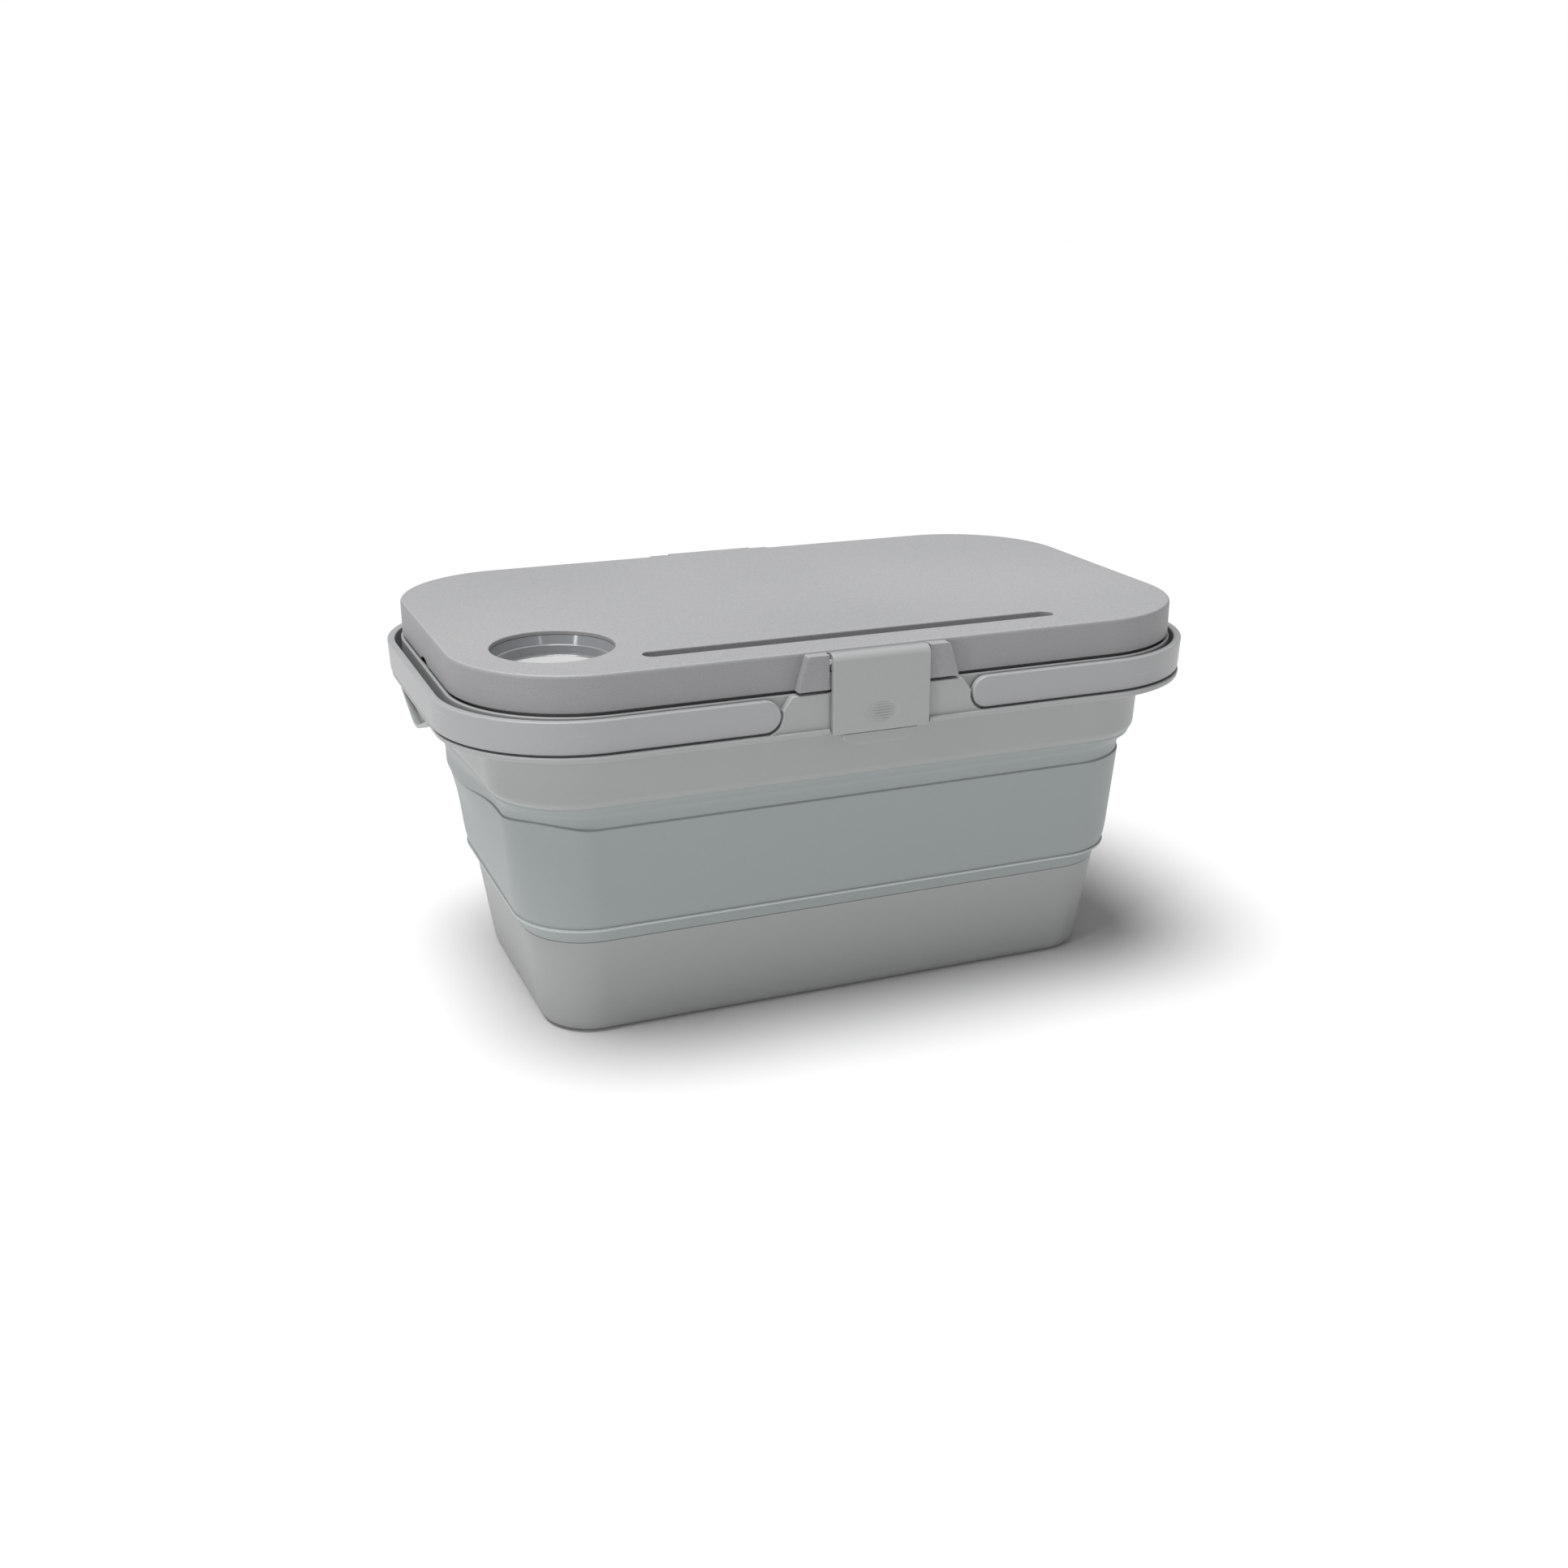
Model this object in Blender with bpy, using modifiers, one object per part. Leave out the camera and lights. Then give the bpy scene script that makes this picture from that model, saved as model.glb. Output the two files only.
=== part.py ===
"""Collapsible storage crate with a table-top lid, two swing handles and two latches.

The crate stands on a rigid base tub.  A flexible wall joins the tub to an upper
collar, and the collar carries a rim frame with a flange, two pairs of handle
pivots and a lifting grip under each short end.  The lid sits on the rim.  It has
a cup recess, a slot that props up a tablet, and a latch hinged in each long side.

X runs along the crate, the front faces -Y and Z points up.  The origin is at the
centre of the tub's underside.  All sizes are in metres.
"""

import math

import bmesh
import bpy
from mathutils import Matrix

COLLECTION = "collapsible_crate"

# Clearances
GAP = 0.0003                    # between pieces that touch
PIN_CLEARANCE = 0.0003          # around a pin, on the radius

# Plan of the lid, which every other outline is offset from
LID_LENGTH = 0.460
LID_WIDTH = 0.274
LID_CORNER = 0.0746
CORNER_STEPS = 9                # facets in each rounded corner

# Heights of the stacked pieces
TUB_HEIGHT = 0.0635
FOLDING_WALL_HEIGHT = 0.0895
COLLAR_HEIGHT = 0.0365
FLANGE_THICKNESS = 0.003
RIM_WALL_HEIGHT = 0.021
LID_SEAT_GAP = 0.0018           # shadow gap between the rim's top and the lid's skirt
LID_HEIGHT = 0.0213

# Wall thicknesses
TUB_WALL = 0.0024
FOLDING_WALL = 0.0020
COLLAR_WALL = 0.0022
RIM_WALL = 0.0025
LID_WALL = 0.0024

# Body outline: inset from the lid's outline and corner radius at each level
WIDTH_INSET = 0.001             # extra inset across the width
TUB_FLOOR_INSET = 0.0465
TUB_FLOOR_CORNER = 0.031
TUB_TOP_INSET = 0.037
TUB_TOP_CORNER = 0.040
TUB_EDGE_ROUND = 0.006
BEAD_INSET = 0.0325
BEAD_CORNER = 0.045
LOWER_STEP_HEIGHT = 0.0099      # from the tub's top to the bead
BEAD_HEIGHT = 0.0030
STRAIGHT_TOP_INSET = 0.0265
STRAIGHT_TOP_CORNER = 0.046
UPPER_STEP_HEIGHT = 0.0165      # from the straight wall to the collar
COLLAR_FOOT_INSET = 0.0195
COLLAR_FOOT_CORNER = 0.050
COLLAR_TOP_INSET = 0.0155
COLLAR_TOP_CORNER = 0.058

# Rim frame
RIM_REVEAL = 0.001              # how far the rim's wall stands outside the lid
FLANGE_REACH_ENDS = 0.007
FLANGE_REACH_SIDES = 0.0055
BLOCK_HALF_WIDTH = 0.053        # raised block between the handle ends, at its top
BLOCK_HANDLE_GAP = 0.0015
GRIP_HALF_WIDTH = 0.041         # lifting grip under each short end, at its top
GRIP_TIP_HALF_WIDTH = 0.006
GRIP_DEPTH = 0.0125
GRIP_THICKNESS = 0.0025
GRIP_INSET = 0.0003             # from the flange's edge
CATCH_TOP_HALF_WIDTH = 0.024    # tab that the latch closes over
CATCH_TIP_HALF_WIDTH = 0.0165
CATCH_DEPTH = 0.0085
CATCH_SLOPE_HEIGHT = 0.0045

# Lid
LID_EDGE_ROUND = 0.004
LID_EDGE_STEPS = 3
LOCATING_RIB_INSET = 0.0055     # rib under the lid that drops inside the rim
LOCATING_RIB_THICKNESS = 0.002
LOCATING_RIB_DEPTH = 0.006
BOSS_TOP_HALF_WIDTH = 0.044     # latch boss in the middle of each long side
BOSS_FOOT_HALF_WIDTH = 0.050
BOSS_STAND = 0.0065             # how far the boss stands out of the skirt
NOTCH_RADIUS = 0.020            # finger notch in each short side
NOTCH_RISE = 0.003
CUP_RADIUS = 0.0353
CUP_END_MARGIN = 0.0247         # from the recess to the lid's left end
CUP_FRONT_MARGIN = 0.0313       # from the recess to the lid's front edge
CUP_STEP = 0.0015
CUP_BAND_DEPTH = 0.008
CUP_DEPTH = 0.0145
CUP_WALL = 0.002
CUP_FLANGE = 0.005
CUP_STEPS = 40
SLOT_LEFT_MARGIN = 0.1016       # from the slot to the lid's left end
SLOT_RIGHT_MARGIN = 0.0992
SLOT_FRONT_MARGIN = 0.02375     # from the slot to the lid's front edge
SLOT_WIDTH = 0.0115
SLOT_DEPTH = 0.008
SLOT_STEPS = 8

# Latches
LATCH_WIDTH = 0.061
LATCH_THICKNESS = 0.0042
LATCH_KNUCKLE = 0.0052          # radius of the rounded top around the pin
LATCH_DROP = 0.0419             # from the pin down to the latch's lower edge
LATCH_SIDE_GAP = 0.0008
LATCH_BACK_GAP = 0.0004
LATCH_PROUD = 0.0035            # how far the latch stands out of the boss
LATCH_TOP_GAP = 0.0004          # between the knuckle's top and the lid's top
LATCH_EDGE_ROUND = 0.0008
LATCH_PIN_RADIUS = 0.0016
LATCH_PIN_EMBED = 0.005         # length of pin in each cheek of the boss
GRIP_PAD_HEIGHT = 0.0128        # up from the latch's lower edge to the finger pad
GRIP_PAD_SIZE = (0.019, 0.0136)
GRIP_PAD_DEPTH = 0.0007

# Handles
HANDLE_THICKNESS = 0.0047
HANDLE_HEIGHT = 0.019
HANDLE_CORNER = 0.083
HANDLE_DRAFT = 0.001
HANDLE_END_GAP = 0.0043         # between the rim's wall and the handle, at the ends
HANDLE_SIDE_GAP = 0.0008        # the same at the long sides
HANDLE_FLANGE_GAP = 0.0012
HANDLE_TIP_STEPS = 6
PIVOT_OFFSET = 0.0695           # pivots each side of the crate's middle
PIVOT_RADIUS = 0.003
PIVOT_EMBED = 0.0025            # depth of the pin in the handle
CLIP_RADIUS = 0.0052
CLIP_THICKNESS = 0.0018

# Levels that follow from the stack
COLLAR_FOOT = TUB_HEIGHT + FOLDING_WALL_HEIGHT
FLANGE_FOOT = COLLAR_FOOT + COLLAR_HEIGHT
FLANGE_TOP = FLANGE_FOOT + FLANGE_THICKNESS
RIM_TOP = FLANGE_TOP + RIM_WALL_HEIGHT
LID_FOOT = RIM_TOP + LID_SEAT_GAP
LID_TOP = LID_FOOT + LID_HEIGHT
LID_UNDERSIDE = LID_TOP - LID_WALL
PIVOT_LEVEL = FLANGE_TOP + HANDLE_FLANGE_GAP + HANDLE_HEIGHT / 2

# Places on the lid that follow from its margins
CUP_CENTRE = (CUP_END_MARGIN + CUP_RADIUS - LID_LENGTH / 2, CUP_FRONT_MARGIN + CUP_RADIUS - LID_WIDTH / 2)
SLOT_LENGTH = LID_LENGTH - SLOT_LEFT_MARGIN - SLOT_RIGHT_MARGIN
SLOT_CENTRE = ((SLOT_LEFT_MARGIN - SLOT_RIGHT_MARGIN) / 2, SLOT_FRONT_MARGIN + (SLOT_WIDTH - LID_WIDTH) / 2)

# Half widths that follow from the plan
RIM_HALF_LENGTH = LID_LENGTH / 2 + RIM_REVEAL
RIM_HALF_WIDTH = LID_WIDTH / 2 + RIM_REVEAL
BOSS_FACE = LID_WIDTH / 2 + BOSS_STAND
LATCH_PIN_Y = BOSS_FACE + LATCH_PROUD - LATCH_KNUCKLE
LATCH_PIN_LEVEL = LID_TOP - LATCH_TOP_GAP - LATCH_KNUCKLE
LATCH_BACK = LATCH_PIN_Y + LATCH_KNUCKLE - LATCH_THICKNESS
LATCH_FOOT = LATCH_PIN_LEVEL - LATCH_DROP
HANDLE_HALF_WIDTH = RIM_HALF_WIDTH + HANDLE_SIDE_GAP + HANDLE_THICKNESS

# Finishes: colour, roughness
RIGID_GREY = ((0.33, 0.335, 0.33), 0.42)
LID_GREY = ((0.42, 0.42, 0.42), 0.55)
HANDLE_GREY = ((0.34, 0.345, 0.35), 0.40)
FLEXIBLE_GREY = ((0.22, 0.24, 0.25), 0.60)
GLOSS_GREY = ((0.40, 0.41, 0.42), 0.20)


def clear_scene():
    """Removes every object and starts the two collections."""
    for item in list(bpy.data.objects):
        bpy.data.objects.remove(item, do_unlink=True)
    for name in (COLLECTION, "cutters"):
        group = bpy.data.collections.new(name)
        bpy.context.scene.collection.children.link(group)


def make_material(name, finish):
    """Returns a Principled material of one colour and roughness."""
    colour, roughness = finish
    material = bpy.data.materials.new(name)
    material.use_nodes = True
    shader = material.node_tree.nodes["Principled BSDF"]
    shader.inputs["Base Color"].default_value = (*colour, 1.0)
    shader.inputs["Roughness"].default_value = roughness
    shader.inputs["Metallic"].default_value = 0.0
    return material


def add_object(name, mesh, collection=COLLECTION):
    """Links a new object that shows the mesh."""
    item = bpy.data.objects.new(name, mesh)
    bpy.data.collections[collection].objects.link(item)
    if collection == "cutters":
        item.hide_render = True
        item.display_type = "WIRE"
    return item


def finish_piece(item, finish):
    """Gives a piece its own material and smooth shading with sharp corners."""
    item.data.materials.clear()
    item.data.materials.append(make_material(item.name, finish))
    item.data.shade_smooth()
    item.data.set_sharp_from_angle(angle=math.radians(30))
    return item


def mesh_from(name, form):
    """Turns an edit mesh into a mesh whose faces point outwards."""
    bmesh.ops.recalc_face_normals(form, faces=form.faces)
    mesh = bpy.data.meshes.new(name)
    form.to_mesh(mesh)
    form.free()
    return mesh


def outline(length, width, corner):
    """Points of a rounded rectangle, anticlockwise from the +X side."""
    points = []
    for quarter in range(4):
        sign_x = 1 if quarter in (0, 3) else -1
        sign_y = 1 if quarter in (0, 1) else -1
        centre_x = sign_x * (length / 2 - corner)
        centre_y = sign_y * (width / 2 - corner)
        for step in range(CORNER_STEPS + 1):
            angle = math.radians(90) * (quarter + step / CORNER_STEPS)
            points.append((centre_x + corner * math.cos(angle), centre_y + corner * math.sin(angle)))
    return points


def plan_ring(inset, level, corner, inset_across=None):
    """A rounded outline at one level, inset from the lid's outline."""
    across = inset if inset_across is None else inset_across
    points = outline(LID_LENGTH - 2 * inset, LID_WIDTH - 2 * across, corner)
    return [(x, y, level) for x, y in points]


def body_ring(inset, level, corner):
    """A ring of the tub, the folding wall or the collar."""
    return plan_ring(inset, level, corner, inset + WIDTH_INSET)


def loft(name, rings, closed_loop):
    """Skins a list of rings; a closed loop joins the last ring to the first."""
    form = bmesh.new()
    rows = [[form.verts.new(point) for point in ring] for ring in rings]
    pairs = list(zip(rows, rows[1:]))
    if closed_loop:
        pairs.append((rows[-1], rows[0]))
    else:
        form.faces.new(rows[0])
        form.faces.new(rows[-1])
    count = len(rows[0])
    for lower, upper in pairs:
        for index in range(count):
            after = (index + 1) % count
            form.faces.new((lower[index], lower[after], upper[after], upper[index]))
    return mesh_from(name, form)


def turned(name, profile, steps, centre=(0.0, 0.0), collection=COLLECTION):
    """Turns a closed profile of (radius, height) points about a vertical axis."""
    mesh = bpy.data.meshes.new(name)
    points = [(radius, 0.0, height) for radius, height in profile]
    edges = [(index, index + 1) for index in range(len(points) - 1)]
    mesh.from_pydata(points, edges, [])
    item = add_object(name, mesh, collection)
    item.location = (*centre, 0.0)
    screw = item.modifiers.new("turn", "SCREW")
    screw.steps = steps
    screw.render_steps = steps
    screw.use_merge_vertices = True
    screw.merge_threshold = 0.00001
    return item


def flat_piece(name, points, thickness, matrix, collection="cutters"):
    """Extrudes a flat outline by its thickness, centred on the outline's plane."""
    curve = bpy.data.curves.new(name, "CURVE")
    curve.dimensions = "2D"
    curve.fill_mode = "BOTH"
    curve.extrude = thickness / 2
    spline = curve.splines.new("POLY")
    spline.points.add(len(points) - 1)
    for slot, (across, up) in zip(spline.points, points):
        slot.co = (across, up, 0.0, 1.0)
    spline.use_cyclic_u = True
    sketch = add_object(name + "_outline", curve, collection)
    bpy.context.view_layer.update()
    graph = bpy.context.evaluated_depsgraph_get()
    mesh = bpy.data.meshes.new_from_object(sketch.evaluated_get(graph))
    bpy.data.objects.remove(sketch, do_unlink=True)
    form = bmesh.new()
    form.from_mesh(mesh)
    bmesh.ops.remove_doubles(form, verts=form.verts, dist=0.000001)
    bmesh.ops.transform(form, matrix=matrix, verts=form.verts)
    item = add_object(name, mesh_from(name, form), collection)
    return item


def facing_y(y):
    """Stands a flat outline upright at y, so that it reads (X, Z)."""
    return Matrix.Translation((0, y, 0)) @ Matrix.Rotation(math.radians(90), 4, "X")


def facing_x(x):
    """Stands a flat outline upright at x, so that it reads (Y, Z)."""
    return Matrix.Translation((x, 0, 0)) @ Matrix.Rotation(math.radians(90), 4, "Z") @ Matrix.Rotation(
        math.radians(90), 4, "X")


def box(name, low, high, collection="cutters"):
    """A box between two corners."""
    form = bmesh.new()
    bmesh.ops.create_cube(form, size=1.0)
    size = [top - bottom for bottom, top in zip(low, high)]
    middle = [(top + bottom) / 2 for bottom, top in zip(low, high)]
    bmesh.ops.scale(form, vec=size, verts=form.verts)
    bmesh.ops.translate(form, vec=middle, verts=form.verts)
    return add_object(name, mesh_from(name, form), collection)


def rod(name, radius, length, centre, axis, sides=20, collection="cutters"):
    """A solid cylinder centred on a point, along X, Y or Z."""
    form = bmesh.new()
    bmesh.ops.create_cone(form, cap_ends=True, segments=sides, radius1=radius, radius2=radius, depth=length)
    turn = {"X": ("Y", 90), "Y": ("X", 90), "Z": ("Z", 0)}[axis]
    matrix = Matrix.Translation(centre) @ Matrix.Rotation(math.radians(turn[1]), 4, turn[0])
    bmesh.ops.transform(form, matrix=matrix, verts=form.verts)
    return add_object(name, mesh_from(name, form), collection)


def combine(item, other, operation):
    """Adds a Boolean modifier that joins or cuts with another object."""
    step = item.modifiers.new(operation.lower() + "_" + other.name, "BOOLEAN")
    step.operation = operation
    step.solver = "EXACT"
    step.object = other


def both_sides():
    """The name and the sign of Y of the front and the rear."""
    return (("front", -1), ("rear", 1))


def both_ends():
    """The name and the sign of X of the left and the right end."""
    return (("left", -1), ("right", 1))


def make_base_tub():
    """The rigid tub: a tapered shell with a rounded lower edge."""
    rings = []
    for step in range(4):
        angle = math.radians(90) * step / 3
        lift = TUB_EDGE_ROUND * (1 - math.cos(angle))
        pull = TUB_EDGE_ROUND * (1 - math.sin(angle))
        rings.append(body_ring(TUB_FLOOR_INSET + pull, lift, TUB_FLOOR_CORNER - pull))
    rings.append(body_ring(TUB_TOP_INSET, TUB_HEIGHT, TUB_TOP_CORNER))
    rings.append(body_ring(TUB_TOP_INSET + TUB_WALL, TUB_HEIGHT, TUB_TOP_CORNER - TUB_WALL))
    inner_foot = TUB_FLOOR_INSET + TUB_WALL
    rings.append(body_ring(inner_foot, TUB_EDGE_ROUND, TUB_FLOOR_CORNER - TUB_WALL))
    inner_round = TUB_EDGE_ROUND - TUB_WALL
    rings.append(body_ring(inner_foot + inner_round, TUB_WALL, TUB_FLOOR_CORNER - TUB_EDGE_ROUND))
    return finish_piece(add_object("base_tub", loft("base_tub", rings, False)), RIGID_GREY)


def make_folding_wall():
    """The flexible wall between the tub and the collar, with a bead and two folds."""
    foot = TUB_HEIGHT + GAP
    top = COLLAR_FOOT - GAP
    levels = (
        (TUB_TOP_INSET, foot, TUB_TOP_CORNER),
        (BEAD_INSET, TUB_HEIGHT + LOWER_STEP_HEIGHT, BEAD_CORNER),
        (BEAD_INSET, TUB_HEIGHT + LOWER_STEP_HEIGHT + BEAD_HEIGHT, BEAD_CORNER),
        (STRAIGHT_TOP_INSET, COLLAR_FOOT - UPPER_STEP_HEIGHT, STRAIGHT_TOP_CORNER),
        (COLLAR_FOOT_INSET, top, COLLAR_FOOT_CORNER),
    )
    outside = [body_ring(*level) for level in levels]
    inside = [body_ring(inset + FOLDING_WALL, level, corner - FOLDING_WALL)
              for inset, level, corner in reversed(levels)]
    mesh = loft("folding_wall", outside + inside, True)
    return finish_piece(add_object("folding_wall", mesh), FLEXIBLE_GREY)


def make_upper_collar():
    """The rigid collar that the folding wall hangs from."""
    top = FLANGE_FOOT - GAP
    levels = ((COLLAR_FOOT_INSET, COLLAR_FOOT, COLLAR_FOOT_CORNER), (COLLAR_TOP_INSET, top, COLLAR_TOP_CORNER))
    outside = [body_ring(*level) for level in levels]
    inside = [body_ring(inset + COLLAR_WALL, level, corner - COLLAR_WALL)
              for inset, level, corner in reversed(levels)]
    mesh = loft("upper_collar", outside + inside, True)
    return finish_piece(add_object("upper_collar", mesh), RIGID_GREY)


def block_outline():
    """Face of the raised block between two handle ends, hollowed around them."""
    radius = HANDLE_HEIGHT / 2 + BLOCK_HANDLE_GAP
    half = [(BLOCK_HALF_WIDTH, RIM_TOP)]
    for step in range(7):
        angle = math.radians(170 + 85 * step / 6)
        level = max(PIVOT_LEVEL + radius * math.sin(angle), FLANGE_TOP - FLANGE_THICKNESS / 2)
        half.append((PIVOT_OFFSET + radius * math.cos(angle), level))
    half.append((half[-1][0], FLANGE_TOP - FLANGE_THICKNESS / 2))
    left = [(-across, level) for across, level in reversed(half)]
    return half + left


def make_rim_frame():
    """The rim: a flange, an upright wall, two raised blocks, catches and lifting grips."""
    inner = COLLAR_TOP_INSET + COLLAR_WALL
    inner_corner = COLLAR_TOP_CORNER - COLLAR_WALL
    reveal = -RIM_REVEAL
    wall_corner = LID_CORNER + RIM_REVEAL
    flange_corner = wall_corner + FLANGE_REACH_SIDES
    rings = [
        body_ring(inner, FLANGE_FOOT, inner_corner),
        plan_ring(reveal - FLANGE_REACH_ENDS, FLANGE_FOOT, flange_corner, reveal - FLANGE_REACH_SIDES),
        plan_ring(reveal - FLANGE_REACH_ENDS, FLANGE_TOP, flange_corner, reveal - FLANGE_REACH_SIDES),
        plan_ring(reveal, FLANGE_TOP, wall_corner),
        plan_ring(reveal, RIM_TOP, wall_corner),
        plan_ring(reveal + RIM_WALL, RIM_TOP, wall_corner - RIM_WALL),
        plan_ring(reveal + RIM_WALL, FLANGE_TOP, wall_corner - RIM_WALL),
        body_ring(inner, FLANGE_TOP, inner_corner),
    ]
    rim = add_object("rim_frame", loft("rim_frame", rings, True))
    sink = RIM_WALL / 2
    for side, sign in both_sides():
        depth = BOSS_FACE - RIM_HALF_WIDTH + sink
        middle = sign * (BOSS_FACE - depth / 2)
        block = flat_piece("rim_block_" + side, block_outline(), depth, facing_y(middle))
        combine(rim, block, "UNION")
        catch_foot = FLANGE_FOOT - CATCH_DEPTH
        catch = [
            (-CATCH_TOP_HALF_WIDTH, FLANGE_FOOT + FLANGE_THICKNESS / 2),
            (-CATCH_TOP_HALF_WIDTH, catch_foot + CATCH_SLOPE_HEIGHT),
            (-CATCH_TIP_HALF_WIDTH, catch_foot),
            (CATCH_TIP_HALF_WIDTH, catch_foot),
            (CATCH_TOP_HALF_WIDTH, catch_foot + CATCH_SLOPE_HEIGHT),
            (CATCH_TOP_HALF_WIDTH, FLANGE_FOOT + FLANGE_THICKNESS / 2),
        ]
        catch_thickness = RIM_WALL
        catch_y = sign * (LATCH_BACK - LATCH_BACK_GAP - catch_thickness / 2 - GAP)
        tab = flat_piece("catch_" + side, catch, catch_thickness, facing_y(catch_y))
        combine(rim, tab, "UNION")
    grip_x = RIM_HALF_LENGTH + FLANGE_REACH_ENDS - GRIP_INSET - GRIP_THICKNESS / 2
    grip = [
        (-GRIP_HALF_WIDTH, FLANGE_FOOT + FLANGE_THICKNESS / 2),
        (-GRIP_TIP_HALF_WIDTH, FLANGE_FOOT - GRIP_DEPTH),
        (GRIP_TIP_HALF_WIDTH, FLANGE_FOOT - GRIP_DEPTH),
        (GRIP_HALF_WIDTH, FLANGE_FOOT + FLANGE_THICKNESS / 2),
    ]
    for end, sign in both_ends():
        combine(rim, flat_piece("grip_" + end, grip, GRIP_THICKNESS, facing_x(sign * grip_x)), "UNION")
    half = LATCH_WIDTH / 2 + LATCH_SIDE_GAP
    reach = BOSS_FACE + FLANGE_REACH_SIDES
    for side, sign in both_sides():
        near, far = sorted((sign * (LATCH_BACK - LATCH_BACK_GAP), sign * reach))
        notch = box("rim_notch_" + side, (-half, near, FLANGE_FOOT - CATCH_DEPTH), (half, far, LID_FOOT))
        combine(rim, notch, "DIFFERENCE")
        for end, end_sign in both_ends():
            centre = (end_sign * PIVOT_OFFSET, sign * RIM_HALF_WIDTH, PIVOT_LEVEL)
            hole = rod("pivot_hole_" + end + "_" + side, PIVOT_RADIUS + PIN_CLEARANCE, 4 * RIM_WALL, centre, "Y")
            combine(rim, hole, "DIFFERENCE")
    return finish_piece(rim, RIGID_GREY)


def slot_outline(length, width):
    """A long outline with round ends, lying flat."""
    radius = width / 2
    points = []
    for sign in (1, -1):
        for step in range(SLOT_STEPS + 1):
            angle = math.radians(180 * step / SLOT_STEPS - 90)
            across = SLOT_CENTRE[0] + sign * (length / 2 - radius + radius * math.cos(angle))
            points.append((across, SLOT_CENTRE[1] + sign * radius * math.sin(angle)))
    return points


def make_lid():
    """The lid: a tray-shaped shell with a locating rib, latch bosses, cup hole and slot."""
    rings = []
    for step in range(LID_EDGE_STEPS + 1):
        angle = math.radians(90) * step / LID_EDGE_STEPS
        pull = LID_EDGE_ROUND * (1 - math.sin(angle))
        level = LID_TOP - LID_EDGE_ROUND * (1 - math.cos(angle))
        rings.append(plan_ring(pull, level, LID_CORNER - pull))
    rings.append(plan_ring(0.0, LID_FOOT, LID_CORNER))
    rings.append(plan_ring(LID_WALL, LID_FOOT, LID_CORNER - LID_WALL))
    rings.append(plan_ring(LID_WALL, LID_UNDERSIDE, LID_CORNER - LID_WALL))
    for inset, level in (
        (LOCATING_RIB_INSET, LID_UNDERSIDE),
        (LOCATING_RIB_INSET, LID_FOOT - LOCATING_RIB_DEPTH),
        (LOCATING_RIB_INSET + LOCATING_RIB_THICKNESS, LID_FOOT - LOCATING_RIB_DEPTH),
        (LOCATING_RIB_INSET + LOCATING_RIB_THICKNESS, LID_UNDERSIDE),
    ):
        rings.append(plan_ring(inset, level, LID_CORNER - inset))
    lid = add_object("lid", loft("lid", rings, False))
    sink = LID_WALL / 2
    depth = BOSS_STAND + sink
    boss = [
        (-BOSS_TOP_HALF_WIDTH, LID_TOP - LID_EDGE_ROUND / 2),
        (-BOSS_FOOT_HALF_WIDTH, LID_FOOT),
        (BOSS_FOOT_HALF_WIDTH, LID_FOOT),
        (BOSS_TOP_HALF_WIDTH, LID_TOP - LID_EDGE_ROUND / 2),
    ]
    for side, sign in both_sides():
        middle = sign * (BOSS_FACE - depth / 2)
        combine(lid, flat_piece("boss_" + side, boss, depth, facing_y(middle)), "UNION")
    trough_depth = SLOT_DEPTH + LID_WALL
    trough_top = LID_TOP - LID_WALL / 2
    trough = flat_piece(
        "slot_trough",
        slot_outline(SLOT_LENGTH + 2 * LID_WALL, SLOT_WIDTH + 2 * LID_WALL),
        trough_top - (LID_TOP - trough_depth),
        Matrix.Translation((0, 0, (trough_top + LID_TOP - trough_depth) / 2)),
    )
    combine(lid, trough, "UNION")
    slot = flat_piece(
        "slot_cut",
        slot_outline(SLOT_LENGTH, SLOT_WIDTH),
        2 * SLOT_DEPTH,
        Matrix.Translation((0, 0, LID_TOP)),
    )
    combine(lid, slot, "DIFFERENCE")
    hole = rod("cup_hole", CUP_RADIUS, 4 * LID_WALL, (*CUP_CENTRE, LID_TOP), "Z", CUP_STEPS)
    combine(lid, hole, "DIFFERENCE")
    half = LATCH_WIDTH / 2 + LATCH_SIDE_GAP
    for side, sign in both_sides():
        near, far = sorted((sign * (LATCH_BACK - LATCH_BACK_GAP), sign * 2 * BOSS_FACE))
        notch = box("boss_notch_" + side, (-half, near, LID_FOOT - LID_WALL), (half, far, LID_TOP + LID_WALL))
        combine(lid, notch, "DIFFERENCE")
        centre = (0, sign * LATCH_PIN_Y, LATCH_PIN_LEVEL)
        sweep = rod("knuckle_room_" + side, LATCH_KNUCKLE + LATCH_BACK_GAP, 2 * half, centre, "X", 24)
        combine(lid, sweep, "DIFFERENCE")
        span = LATCH_WIDTH + 2 * (LATCH_SIDE_GAP + LATCH_PIN_EMBED + GAP)
        bore = rod("latch_bore_" + side, LATCH_PIN_RADIUS + PIN_CLEARANCE, span, centre, "X", 16)
        combine(lid, bore, "DIFFERENCE")
    for end, sign in both_ends():
        centre = (sign * LID_LENGTH / 2, 0, LID_FOOT + NOTCH_RISE - NOTCH_RADIUS)
        notch = rod("finger_notch_" + end, NOTCH_RADIUS, 4 * LID_WALL, centre, "X", 48)
        combine(lid, notch, "DIFFERENCE")
    return finish_piece(lid, LID_GREY)


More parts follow.
